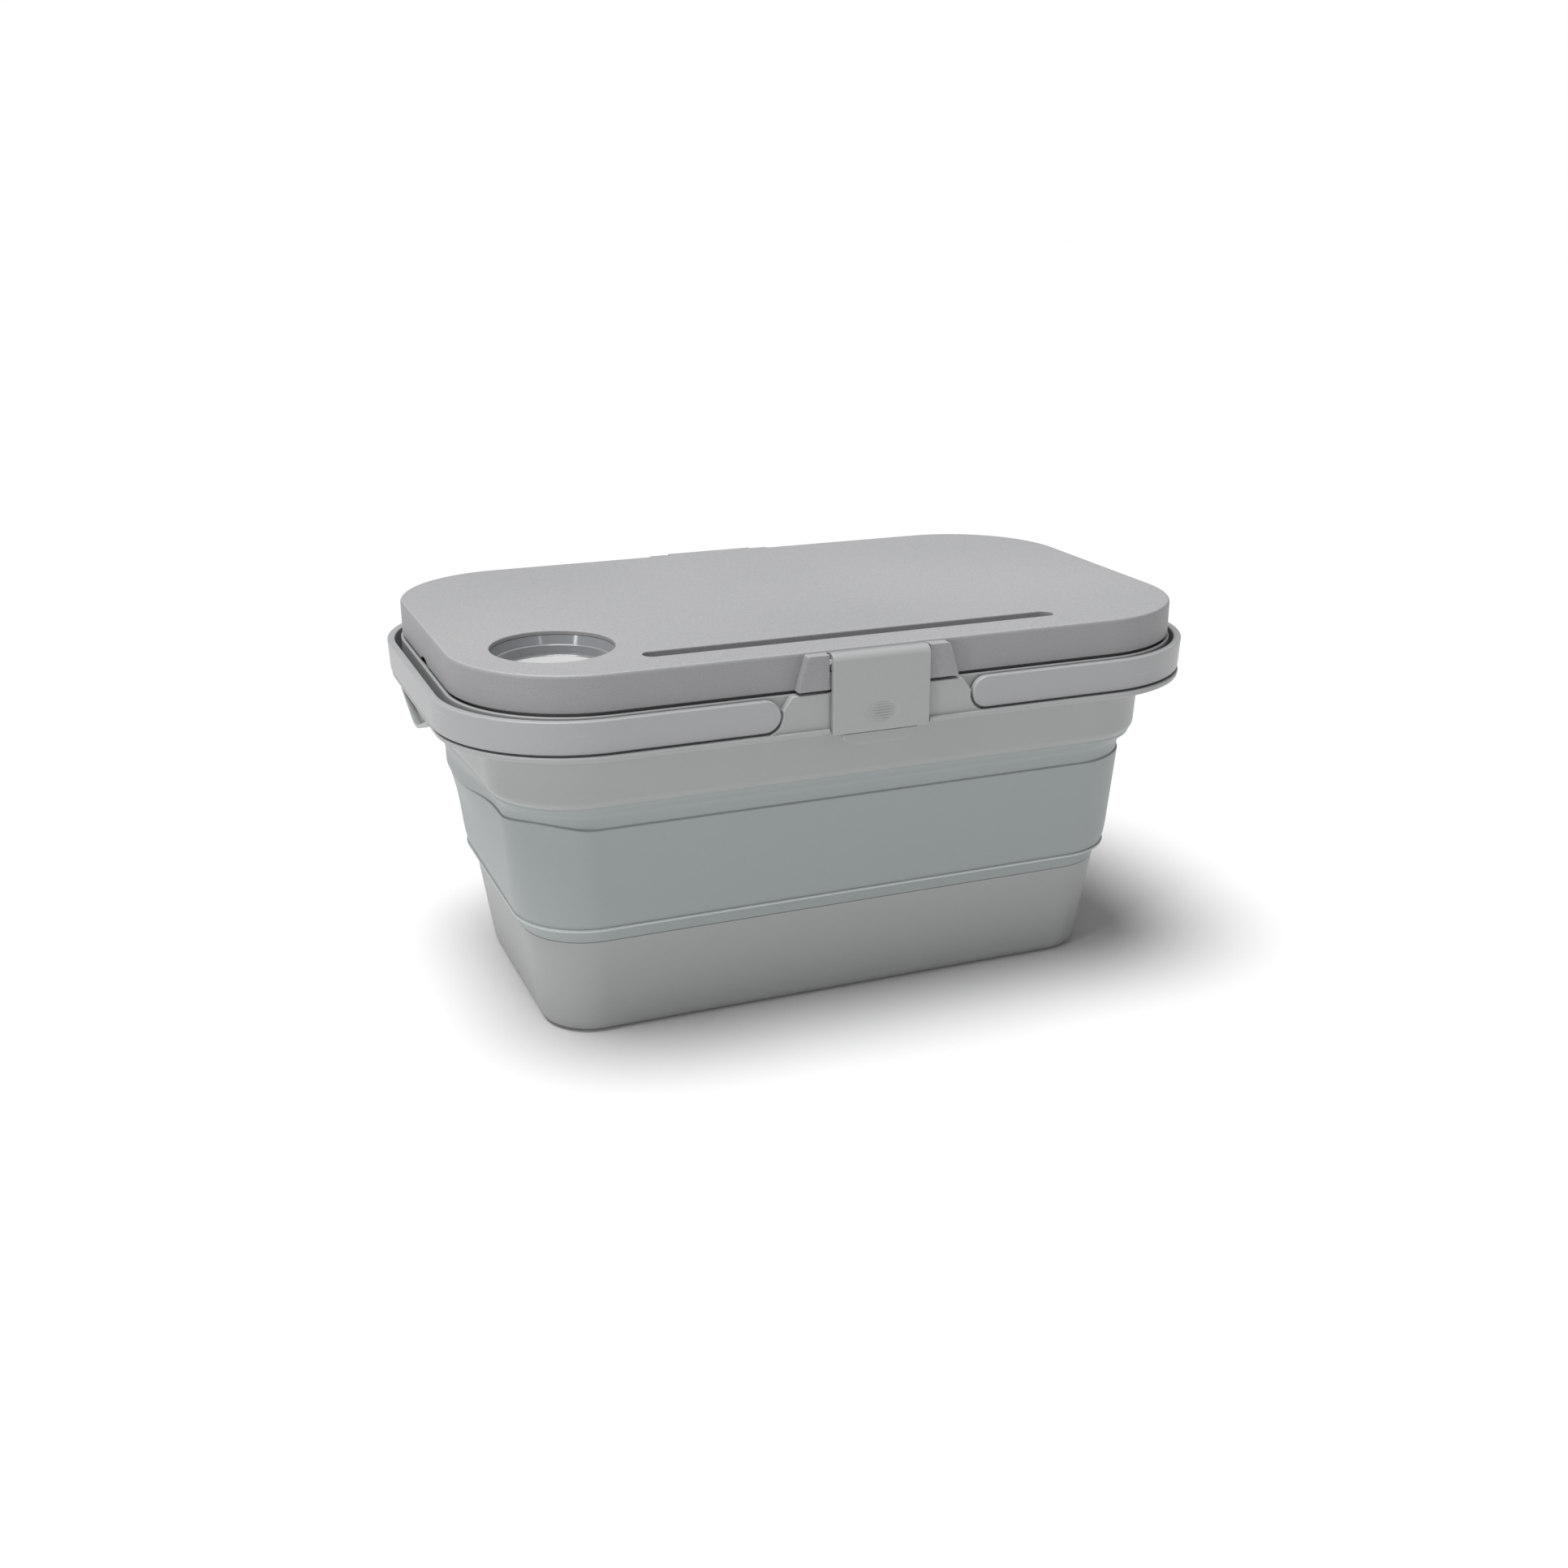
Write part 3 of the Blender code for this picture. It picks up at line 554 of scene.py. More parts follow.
@dataclass(frozen=True)
class MouldedPlastic:
    """A moulded plastic: its colour, gloss, and the texture that its mould leaves.

    Attributes:
        name: the material's common name and how its surface was made.
        colour: sRGB hex colour of the resin.
        shade: sRGB hex colour of the resin where it is a little darker.
        roughness: mean roughness of the surface.
        grain_mm: width of one grain of the mould's texture.
        grain_depth_mm: depth of the grain.
        ior: index of refraction of the resin.
        sheen: strength of the soft sheen of rubbery resins.
        scuff: how strongly fine scratches show.
    """

    name: str
    colour: str
    shade: str
    roughness: float
    grain_mm: float
    grain_depth_mm: float
    ior: float = 1.49
    sheen: float = 0.0
    scuff: float = 0.0

    def material(self) -> bpy.types.Material:
        """Builds the procedural material.

        Returns:
            A material on object coordinates, with constants on the shader's own sockets.
        """
        made = bpy.data.materials.new(self.name)
        made.use_nodes = True
        tree = made.node_tree
        tree.nodes.clear()
        place = add_node(tree, "ShaderNodeTexCoord").outputs["Object"]
        # Moulded parts vary slowly in tone where the melt flowed and cooled.
        flow = add_node(tree, "ShaderNodeTexNoise", {"Vector": place},
                        {"Scale": 5.0, "Detail": 1.0, "Roughness": 0.4})
        speck = add_node(tree, "ShaderNodeTexNoise", {"Vector": place},
                         {"Scale": 1 / (self.grain_mm * MM), "Detail": 2.0, "Roughness": 0.5})
        tone = add_node(tree, "ShaderNodeMath", {0: flow.outputs["Fac"], 2: speck.outputs["Fac"]},
                        {1: 0.35}, operation="MULTIPLY_ADD")
        share = add_node(tree, "ShaderNodeMapRange", {"Value": tone.outputs[0]},
                         {"From Min": 0.4, "From Max": 0.95})
        colour = add_node(tree, "ShaderNodeMix", {"Factor": share.outputs[0]},
                          {6: linear(self.shade), 7: linear(self.colour)}, data_type="RGBA")
        # Raised grain: each cell of the eroded mould is one small bump.
        cells = add_node(tree, "ShaderNodeTexVoronoi", {"Vector": place},
                         {"Scale": 1 / (self.grain_mm * MM), "Randomness": 1.0}, feature="SMOOTH_F1")
        if self.scuff > 0:
            stretched = add_node(tree, "ShaderNodeMapping", {"Vector": place},
                                 {"Scale": (18.0, 18.0, 420.0), "Rotation": (0.12, 0.22, 0.0)})
            streak = add_node(tree, "ShaderNodeTexNoise", {"Vector": stretched.outputs[0]},
                              {"Scale": 1.0, "Detail": 2.0})
            line = add_node(tree, "ShaderNodeMapRange", {"Value": streak.outputs["Fac"]},
                            {"From Min": 0.70, "From Max": 0.74, "To Max": self.scuff})
            colour = add_node(tree, "ShaderNodeMix", {"Factor": line.outputs[0], 6: colour.outputs[2]},
                              {7: linear("d8d8d6")}, data_type="RGBA")
        gloss = add_node(tree, "ShaderNodeMapRange", {"Value": flow.outputs["Fac"]},
                         {"From Min": 0.3, "From Max": 0.7, "To Min": self.roughness - 0.04,
                          "To Max": self.roughness + 0.04})
        bump = add_node(tree, "ShaderNodeBump", {"Height": cells.outputs["Distance"]},
                        {"Strength": 0.6, "Distance": self.grain_depth_mm * MM})
        shader = add_node(tree, "ShaderNodeBsdfPrincipled",
                          {"Base Color": colour.outputs[2], "Roughness": gloss.outputs[0],
                           "Normal": bump.outputs[0]},
                          {"IOR": self.ior, "Metallic": 0.0, "Sheen Weight": self.sheen})
        add_node(tree, "ShaderNodeOutputMaterial", {"Surface": shader.outputs[0]})
        return made


# Moulded polypropylene from a spark-eroded mould: satin, slightly cool grey.
BODY_PLASTIC = MouldedPlastic("moulded_polypropylene_satin", "a5a7a7", "a2a4a4", 0.40, 1.1, 0.02)
# The lid's top comes from a coarser mould texture: matt, with a visible grain.
LID_PLASTIC = MouldedPlastic("moulded_polypropylene_grained", "aeaeaf", "9b9c9d", 0.52, 1.0, 0.035)
# The handles are the same resin, polished a little by hands and lightly scratched.
HANDLE_PLASTIC = MouldedPlastic("moulded_polypropylene_handled", "a6a7a8", "a2a3a4", 0.38, 1.1, 0.02,
                                scuff=0.16)
# Painted shade: the lid's steep sides get a darker copy of its resin, standing in for the shade that falls
# on them.
SIDE_SHADE_PLASTIC = MouldedPlastic("moulded_polypropylene_painted_side_shade", "989899", "8d8e90", 0.50, 1.0, 0.03)
# Overmoulded thermoplastic elastomer: softer and bluer, with a low sheen.
ELASTOMER = MouldedPlastic("overmoulded_elastomer", "9ca2a2", "999fa0", 0.46, 1.0, 0.02,
                           ior=1.50, sheen=0.05)
# Painted highlight: the bead along the lower fold line is coloured pale for the light that catches its top,
# and shines a little.
BEAD_HIGHLIGHT_ELASTOMER = MouldedPlastic("bead_painted_highlight_elastomer", "c4cbca", "bcc3c2", 0.34, 1.0, 0.01,
                                ior=1.50, sheen=0.05)
# The cup liner's wall comes from a polished core and mirrors the light; its darker colour is painted shade
# for the recess.
SHADED_POLISHED_PLASTIC = MouldedPlastic("polished_polypropylene_painted_shade", "8e9194", "8a8c8f", 0.11, 6.0, 0.005)
# Pale fine matt resin for the hidden pins and the liner's floor; on the floor its paleness is painted light
# for the lit bottom of the recess.
PIN_AND_LIT_FLOOR_PLASTIC = MouldedPlastic("fine_matt_polypropylene", "c6c6c4", "c0c0be", 0.45, 1.0, 0.02)


class Wardrobe:
    """Makes each finish's material once and puts it on pieces."""

    def __init__(self) -> None:
        """Starts with no material made."""
        self.made: dict[str, bpy.types.Material] = {}

    def material(self, finish: MouldedPlastic) -> bpy.types.Material:
        """Returns the finish's material, made on first use."""
        if finish.name not in self.made:
            self.made[finish.name] = finish.material()
        return self.made[finish.name]

    def dress(self, item: bpy.types.Object, finish: MouldedPlastic) -> bpy.types.Object:
        """Gives a piece one finish all over."""
        item.data.materials.clear()
        item.data.materials.append(self.material(finish))
        return item

    def paint_side_shade(self, item: bpy.types.Object, finish: MouldedPlastic, low: float) -> None:
        """Gives the steep faces above a height a second, darker finish: painted shade on the sides.

        Args:
            item: a piece that is already dressed.
            finish: the darker finish of its sides, painted shade.
            low: lowest height of the faces meant.
        """
        item.data.materials.append(self.material(finish))
        for face in item.data.polygons:
            if abs(face.normal.z) < 0.75 and face.center.z > low:
                face.material_index = 1


def box_middle(name: str) -> Point3:
    """Returns the middle of a frame node's box."""
    low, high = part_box(name)
    return tuple((first + last) / 2 for first, last in zip(low, high))


def report(item: bpy.types.Object) -> None:
    """Logs a piece with its size."""
    size = [round(value / MM, 1) for value in item.dimensions]
    LOG.info("%s: %s mm, %d faces", item.name, size, len(item.data.polygons))


# ---------------------------------------------------------------------------
# Geometry Nodes
# ---------------------------------------------------------------------------


class NodeRecipe:
    """A Geometry Nodes tree with named inputs, run once on an empty mesh."""

    def __init__(self, name: str) -> None:
        """Starts a tree that outputs geometry."""
        self.tree = bpy.data.node_groups.new(name, "GeometryNodeTree")
        self.tree.interface.new_socket("Geometry", in_out="OUTPUT", socket_type="NodeSocketGeometry")
        self.inputs = self.tree.nodes.new("NodeGroupInput")
        self.values: dict[str, object] = {}

    def number(self, name: str, value: float, kind: str = "NodeSocketFloat") -> bpy.types.NodeSocket:
        """Adds a named input with its value and returns its socket."""
        item = self.tree.interface.new_socket(name, in_out="INPUT", socket_type=kind)
        self.values[item.identifier] = value
        return self.inputs.outputs[name]

    def node(self, kind: str, links: Optional[dict] = None, values: Optional[dict] = None,
             **settings: object) -> bpy.types.Node:
        """Adds a node to the tree."""
        return add_node(self.tree, kind, links, values, **settings)

    def math(self, operation: str, *terms: object) -> bpy.types.NodeSocket:
        """Adds a math node over sockets and constants.

        Args:
            operation: the node's operation.
            *terms: its sockets and constants, in order.

        Returns:
            The socket with the result.
        """
        links = {place: term for place, term in enumerate(terms) if isinstance(term, bpy.types.NodeSocket)}
        values = {place: term for place, term in enumerate(terms) if place not in links}
        return self.node("ShaderNodeMath", links, values, operation=operation).outputs[0]

    def run(self, name: str, geometry: bpy.types.NodeSocket,
            material: bpy.types.Material) -> bpy.types.Mesh:
        """Finishes the tree and returns its result as a plain mesh.

        Args:
            name: name of the mesh.
            geometry: the socket that holds the result.
            material: the material set on all of it.

        Returns:
            The realised mesh.
        """
        real = self.node("GeometryNodeRealizeInstances", {"Geometry": geometry})
        dressed = self.node("GeometryNodeSetMaterial", {"Geometry": real.outputs[0]},
                            {"Material": material})
        self.node("NodeGroupOutput", {"Geometry": dressed.outputs[0]})
        holder = add_object(name + "_holder", bpy.data.meshes.new(name + "_holder"))
        modifier = holder.modifiers.new("recipe", "NODES")
        modifier.node_group = self.tree
        for identifier, value in self.values.items():
            modifier[identifier] = value
        bpy.context.view_layer.update()
        graph = bpy.context.evaluated_depsgraph_get()
        mesh = bpy.data.meshes.new_from_object(holder.evaluated_get(graph))
        mesh.name = name
        bpy.data.objects.remove(holder, do_unlink=True)
        return mesh


def piping(name: str, length: float, width: float, corner: float, radius: float, height: float,
           material: bpy.types.Material) -> bpy.types.Mesh:
    """Runs a round bead along a rounded rectangle with Geometry Nodes.

    Args:
        name: name of the mesh.
        length: length of the bead's path.
        width: width of the bead's path.
        corner: corner radius of the path.
        radius: radius of the bead.
        height: height of the path.
        material: the bead's material.

    Returns:
        A closed ring of bead.
    """
    recipe = NodeRecipe(name)
    path = recipe.node("GeometryNodeCurvePrimitiveQuadrilateral",
                       {"Width": recipe.number("Length", length), "Height": recipe.number("Width", width)})
    arcs = recipe.node("GeometryNodeFilletCurve",
                       {"Curve": path.outputs[0], "Radius": recipe.number("Corner", corner)},
                       {"Count": 20}, mode="POLY")
    ring = recipe.node("GeometryNodeCurvePrimitiveCircle",
                       {"Radius": recipe.number("Bead radius", radius)}, {"Resolution": 10})
    tube = recipe.node("GeometryNodeCurveToMesh",
                       {"Curve": arcs.outputs[0], "Profile Curve": ring.outputs[0]})
    lift = recipe.node("ShaderNodeCombineXYZ", {"Z": recipe.number("Height", height)})
    placed = recipe.node("GeometryNodeTransform",
                         {"Geometry": tube.outputs[0], "Translation": lift.outputs[0]})
    smooth = recipe.node("GeometryNodeSetShadeSmooth", {"Geometry": placed.outputs[0]})
    return recipe.run(name, smooth.outputs[0], material)


# ---------------------------------------------------------------------------
# Sub-assemblies
# ---------------------------------------------------------------------------


@dataclass
class BaseTub:
    """The rigid tub that the crate stands on.

    Attributes:
        plan: the lid's outline.
        wardrobe: source of materials.
        floor_inset: inset of the tub's foot.
        floor_corner: corner radius there.
        edge: rounding of the lower edge.
        top_inset: inset of the tub's top.
        top_corner: corner radius there.
        wall: wall thickness.
        slim: extra inset across the width.
    """

    plan: Plan
    wardrobe: Wardrobe
    floor_inset: float = 46.5 * MM
    floor_corner: float = 31 * MM
    edge: float = 7 * MM
    top_inset: float = 37 * MM
    top_corner: float = 40 * MM
    wall: float = 2.4 * MM
    slim: float = 1 * MM

    def build(self) -> bpy.types.Object:
        """Builds the tub in place of the frame's plain one."""
        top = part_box("base_tub")[1].z
        inner_edge = self.edge - self.wall
        levels = [
            Level(self.floor_inset + 2 * self.edge, 0.0, self.floor_corner - 1.2 * self.edge,
                  slim=self.slim),
            Level(self.floor_inset, 0.0, self.floor_corner, self.edge, 0.0, self.slim),
            Level(self.top_inset, top, self.top_corner, 0.5 * MM, 0.0, self.slim),
            Level(self.top_inset + self.wall, top, self.top_corner - self.wall, 0.5 * MM, 0.0, self.slim),
            Level(self.floor_inset + self.wall, self.wall, self.floor_corner - self.wall, inner_edge,
                  0.0, self.slim),
            Level(self.floor_inset + 2 * self.edge, self.wall, self.floor_corner - 1.4 * self.edge,
                  0.0, 0.0, self.slim),
        ]
        tub = add_object("tub_shell", lofted("tub_shell", self.plan, softened(levels, False, 8), False))
        self.wardrobe.dress(smoothed(tub), BODY_PLASTIC)
        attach(tub, "base")
        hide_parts("base_tub")
        report(tub)
        return tub


@dataclass
class FoldingWall:
    """The elastomer wall and its bead, shaped as they hang when the crate is unfolded.

    Attributes:
        plan: the lid's outline.
        wardrobe: source of materials.
        tub: the tub that it starts from.
        wall: wall thickness.
        bead: radius of the bead at its lower fold line.
        bead_inset: inset of the bead's centre line.
        bead_corner: corner radius of its centre line.
        bead_rise: its height over the wall's foot.
        crease_drop: how far the upper fold line lies below the collar.
        lift: rise of the upper fold line in each corner.
        sag: how far it hangs down in the middle of each short end.
        slim: extra inset across the width.
    """

    plan: Plan
    wardrobe: Wardrobe
    tub: BaseTub
    wall: float = 2.0 * MM
    bead: float = 1.0 * MM
    bead_inset: float = 32 * MM
    bead_corner: float = 44 * MM
    bead_rise: float = 9.5 * MM
    crease_drop: float = 14.6 * MM
    lift: float = 3.4 * MM
    sag: float = 9.5 * MM
    slim: float = 1 * MM

    def levels(self, foot: float, top: float) -> list[Level]:
        """Lists the outer stations from the tub up to the collar.

        Args:
            foot: height where the wall leaves the tub.
            top: height of the collar's foot.

        Returns:
            The stations: foot, bead, belly, crease, upper band.
        """
        crease = top - self.crease_drop
        lift = self.lift
        sag = self.sag
        slim = self.slim
        return [
            Level(self.tub.top_inset, foot, self.tub.top_corner, slim=slim),
            Level(36.2 * MM, foot + 2.6 * MM, 41 * MM, 1.5 * MM, slim=slim),
            Level(32.3 * MM, foot + 9.6 * MM, 44 * MM, 0.8 * MM, slim=slim),
            Level(30.4 * MM, foot + 17.5 * MM, 45 * MM, 7.0 * MM, slim=slim),
            Level(28.4 * MM, foot + 44 * MM, 45.6 * MM, 9.0 * MM, slim=slim,
                  bulge=1.0 * MM, ridge=0.9 * MM),
            Level(26.2 * MM, crease - 1.0 * MM, 46.6 * MM, 0.5 * MM, lift, slim,
                  sag=1.1 * sag, bulge=3.8 * MM, ridge=1.1 * MM),
            Level(27.2 * MM, crease - 0.2 * MM, 46.2 * MM, 0.1 * MM, lift, slim,
                  sag=sag, bulge=4.4 * MM, ridge=0.8 * MM),
            Level(27.0 * MM, crease + 0.4 * MM, 46.6 * MM, 0.2 * MM, lift, slim,
                  sag=sag, bulge=6.2 * MM, ridge=0.5 * MM),
            Level(26.4 * MM, top - 7.0 * MM, 47.0 * MM, 2.5 * MM, 0.4 * lift, slim,
                  sag=0.5 * sag, bulge=5.8 * MM),
            Level(21.2 * MM, top - 1.6 * MM, 49.0 * MM, 1.2 * MM, slim=slim, bulge=3.8 * MM),
            Level(21.0 * MM, top + 0.6 * MM, 49.6 * MM, slim=slim, bulge=3.6 * MM),
        ]

    def build(self) -> list[bpy.types.Object]:
        """Builds the wall and its bead."""
        low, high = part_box("folding_wall")
        outside = refined(softened(self.levels(low.z, high.z), False, 6), 2.0 * MM)
        mesh = lofted("folding_wall_skin", self.plan, walled(outside, self.wall), True)
        wall = add_object("folding_wall_skin", mesh)
        self.wardrobe.dress(smoothed(wall, 60.0), ELASTOMER)
        length = self.plan.length - 2 * self.bead_inset
        width = self.plan.width - 2 * (self.bead_inset + self.slim)
        # The bead is dressed pale: a painted highlight along the lower fold line.
        bead = add_object("lower_bead", piping(
            "lower_bead", length, width, self.bead_corner, self.bead, low.z + self.bead_rise,
            self.wardrobe.material(BEAD_HIGHLIGHT_ELASTOMER)))
        for piece in (wall, bead):
            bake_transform(piece)
            report(piece)
        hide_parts("folding_wall")
        return [wall, bead]


@dataclass
class UpperCollar:
    """The rigid collar above the folding wall."""

    plan: Plan
    wardrobe: Wardrobe
    foot_inset: float = 19.5 * MM
    foot_corner: float = 50 * MM
    top_inset: float = 15.5 * MM
    top_corner: float = 58 * MM
    wall: float = 2.2 * MM
    slim: float = 1 * MM
    bulge: float = 9 * MM

    def build(self) -> bpy.types.Object:
        """Builds the collar in place of the frame's plain one."""
        low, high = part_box("upper_collar")
        levels = [
            Level(self.foot_inset + 1.6 * MM, low.z, self.foot_corner - 1.2 * MM, 0.2 * MM,
                  slim=self.slim, bulge=0.4 * self.bulge),
            Level(self.foot_inset - 0.2 * MM, low.z + 2.6 * MM, self.foot_corner, 2.4 * MM,
                  slim=self.slim, bulge=0.45 * self.bulge),
            Level(self.foot_inset - 1.6 * MM, low.z + 17 * MM, self.foot_corner + 3 * MM, 5 * MM,
                  slim=self.slim, bulge=0.95 * self.bulge),
            Level(self.top_inset, high.z, self.top_corner, slim=self.slim, bulge=self.bulge),
            Level(self.top_inset + self.wall, high.z, self.top_corner - self.wall,
                  slim=self.slim, bulge=self.bulge),
            Level(self.foot_inset + self.wall, low.z, self.foot_corner - self.wall, 0.5 * MM,
                  slim=self.slim, bulge=0.4 * self.bulge),
        ]
        collar = add_object("collar_band", lofted("collar_band", self.plan, softened(levels, True), True))
        self.wardrobe.dress(smoothed(collar), BODY_PLASTIC)
        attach(collar, "frame")
        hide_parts("upper_collar")
        report(collar)
        return collar


@dataclass
class RimFrame:
    """The rim: flange, upright wall, raised blocks, catches and lifting grips."""

    plan: Plan
    wardrobe: Wardrobe
    reveal: float = 1 * MM
    flange_x: float = 7 * MM
    flange_y: float = 7.2 * MM
    flange_thickness: float = 3 * MM
    neck_inset: float = 17.7 * MM
    neck_corner: float = 55.8 * MM
    neck_slim: float = 1 * MM
    wall: float = 2.5 * MM
    hole_reach: float = 5 * MM
    block_half: float = 53 * MM
    tip_gap: float = 1.5 * MM
    pivot_offset: float = PIVOT_OFFSET
    tip_radius: float = 9.5 * MM
    notch_half: float = NOTCH_HALF
    notch_face: float = NOTCH_FACE
    grip_half: float = 41 * MM
    grip_tip_half: float = 6 * MM
    grip_depth: float = 12.5 * MM

    def band(self, foot: float, top: float) -> bpy.types.Mesh:
        """Lofts the flange and the upright wall."""
        step = foot + self.flange_thickness
        corner = self.plan.corner + self.reveal
        outer_x = -self.reveal - self.flange_x
        slim = self.flange_x - self.flange_y
        levels = [
            Level(self.neck_inset, foot, self.neck_corner, slim=self.neck_slim),
            Level(outer_x, foot, corner + self.flange_y, 1.3 * MM, 0.0, slim),
            Level(outer_x, step, corner + self.flange_y, 0.5 * MM, 0.0, slim),
            Level(-self.reveal, step, corner, 0.8 * MM),
            Level(-self.reveal, top, corner, 0.8 * MM),
            Level(-self.reveal + self.wall, top, corner - self.wall, 0.6 * MM),
            Level(-self.reveal + self.wall, step, corner - self.wall, 0.6 * MM),
            Level(self.neck_inset, step, self.neck_corner, 0.6 * MM, slim=self.neck_slim),
        ]
        return lofted("rim_band", self.plan, softened(levels, True, 4), True)

    def block(self, side: Side, foot: float, top: float, pivot: float) -> bpy.types.Mesh:
        """Extrudes the raised block between two handle tips."""
        radius = self.tip_radius + self.tip_gap
        half = [(self.block_half, top)]
        for step in range(19):
            angle = math.radians(168 + 87 * step / 18)
            half.append((self.pivot_offset + radius * math.cos(angle), pivot + radius * math.sin(angle)))
        half.append((half[-1][0] + 2 * MM, foot + 0.5 * self.flange_thickness))
        outline = mirrored(half)
        radii = [1.2 * MM] + [0.0] * (len(outline) - 2) + [1.2 * MM]
        face = self.plan.width / 2 + 5.9 * MM
        back = self.plan.width / 2 - 0.5 * self.wall
        low, high = sorted((side.value * face, side.value * back))
        return slab("rim_block", rounded_path(outline, radii), low, high, "Y", 0.7 * MM)

    def catch(self, side: Side, foot: float) -> list[bpy.types.Mesh]:
        """Extrudes the tab that the latch closes over and its raised lower lip."""
        outline = mirrored([(24 * MM, foot + 1.5 * MM), (24 * MM, foot - 4 * MM),
                            (16.5 * MM, foot - 8.5 * MM)])
        radii = [0.0, 2 * MM, 2.5 * MM, 2.5 * MM, 2 * MM, 0.0]
        low, high = sorted((side.value * (self.notch_face - 2.8 * MM),
                            side.value * (self.notch_face - 0.3 * MM)))
        back = slab("catch", rounded_path(outline, radii), low, high, "Y", 0.4 * MM)
        outline = mirrored([(23.4 * MM, foot - 0.9 * MM), (23.4 * MM, foot - 3.8 * MM),
                            (16.2 * MM, foot - 8.2 * MM)])
        low, high = sorted((side.value * (self.notch_face - 1 * MM),
                            side.value * (self.notch_face + 2.8 * MM)))
        return [back, slab("catch_lip", rounded_path(outline, radii), low, high, "Y", 0.6 * MM)]

    def grip(self, end: End, foot: float) -> list[bpy.types.Mesh]:
        """Makes a lifting grip: a hanging plate with a curled lip along its edge."""
        edge = self.plan.length / 2 + self.reveal + self.flange_x - 0.3 * MM
        outline = mirrored([(self.grip_half, foot + 1.5 * MM), (self.grip_half, foot - 0.4 * MM),
                            (self.grip_tip_half, foot - self.grip_depth)])
        radii = [0.0, 0.3 * MM, 6 * MM, 6 * MM, 0.3 * MM, 0.0]
        path = rounded_path(outline, radii, 8)
        low, high = sorted((end.value * (edge - 6.0 * MM), end.value * (edge - 3.6 * MM)))
        plate = slab("grip_plate", path, low, high, "X", 0.3 * MM)
        lower = [(1.006 * y, z - 0.25 * MM) for y, z in path if z < foot]
        inner = [(y * 0.94, z + 1.9 * MM) for y, z in lower]
        low, high = sorted((end.value * (edge - 5.0 * MM), end.value * (edge + 0.1 * MM)))
        lip = slab("grip_lip", lower + inner[::-1], low, high, "X")
        return [plate, lip]

    def build(self) -> bpy.types.Object:
        """Builds the rim in place of the frame's plain one."""
        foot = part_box("upper_collar")[1].z + 0.3 * MM
        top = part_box("left_handle")[1].z + 0.8 * MM
        pivot = box_middle("left_handle")[2]
        joined = []
        cut = []
        for side in Side:
            joined.append(self.block(side, foot, top, pivot))
            joined += self.catch(side, foot)
            cut.append(notch_cutter("rim_notch", side, self.notch_half, self.notch_face,
                                    foot - 0.5 * MM, top + 4 * MM))
            for end in End:
                centre = (end.value * self.pivot_offset, side.value * self.plan.width / 2, pivot)
                cut.append(cylinder("pivot_hole", PIVOT_HOLE_RADIUS, centre, self.hole_reach, "Y", 32))
        for end in End:
            joined += self.grip(end, foot)
        rim = carved(add_object("rim_shell", self.band(foot, top)), joined, cut)
        self.wardrobe.dress(smoothed(rim, 34.0), BODY_PLASTIC)
        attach(rim, "frame")
        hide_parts("rim_frame")
        report(rim)
        return rim


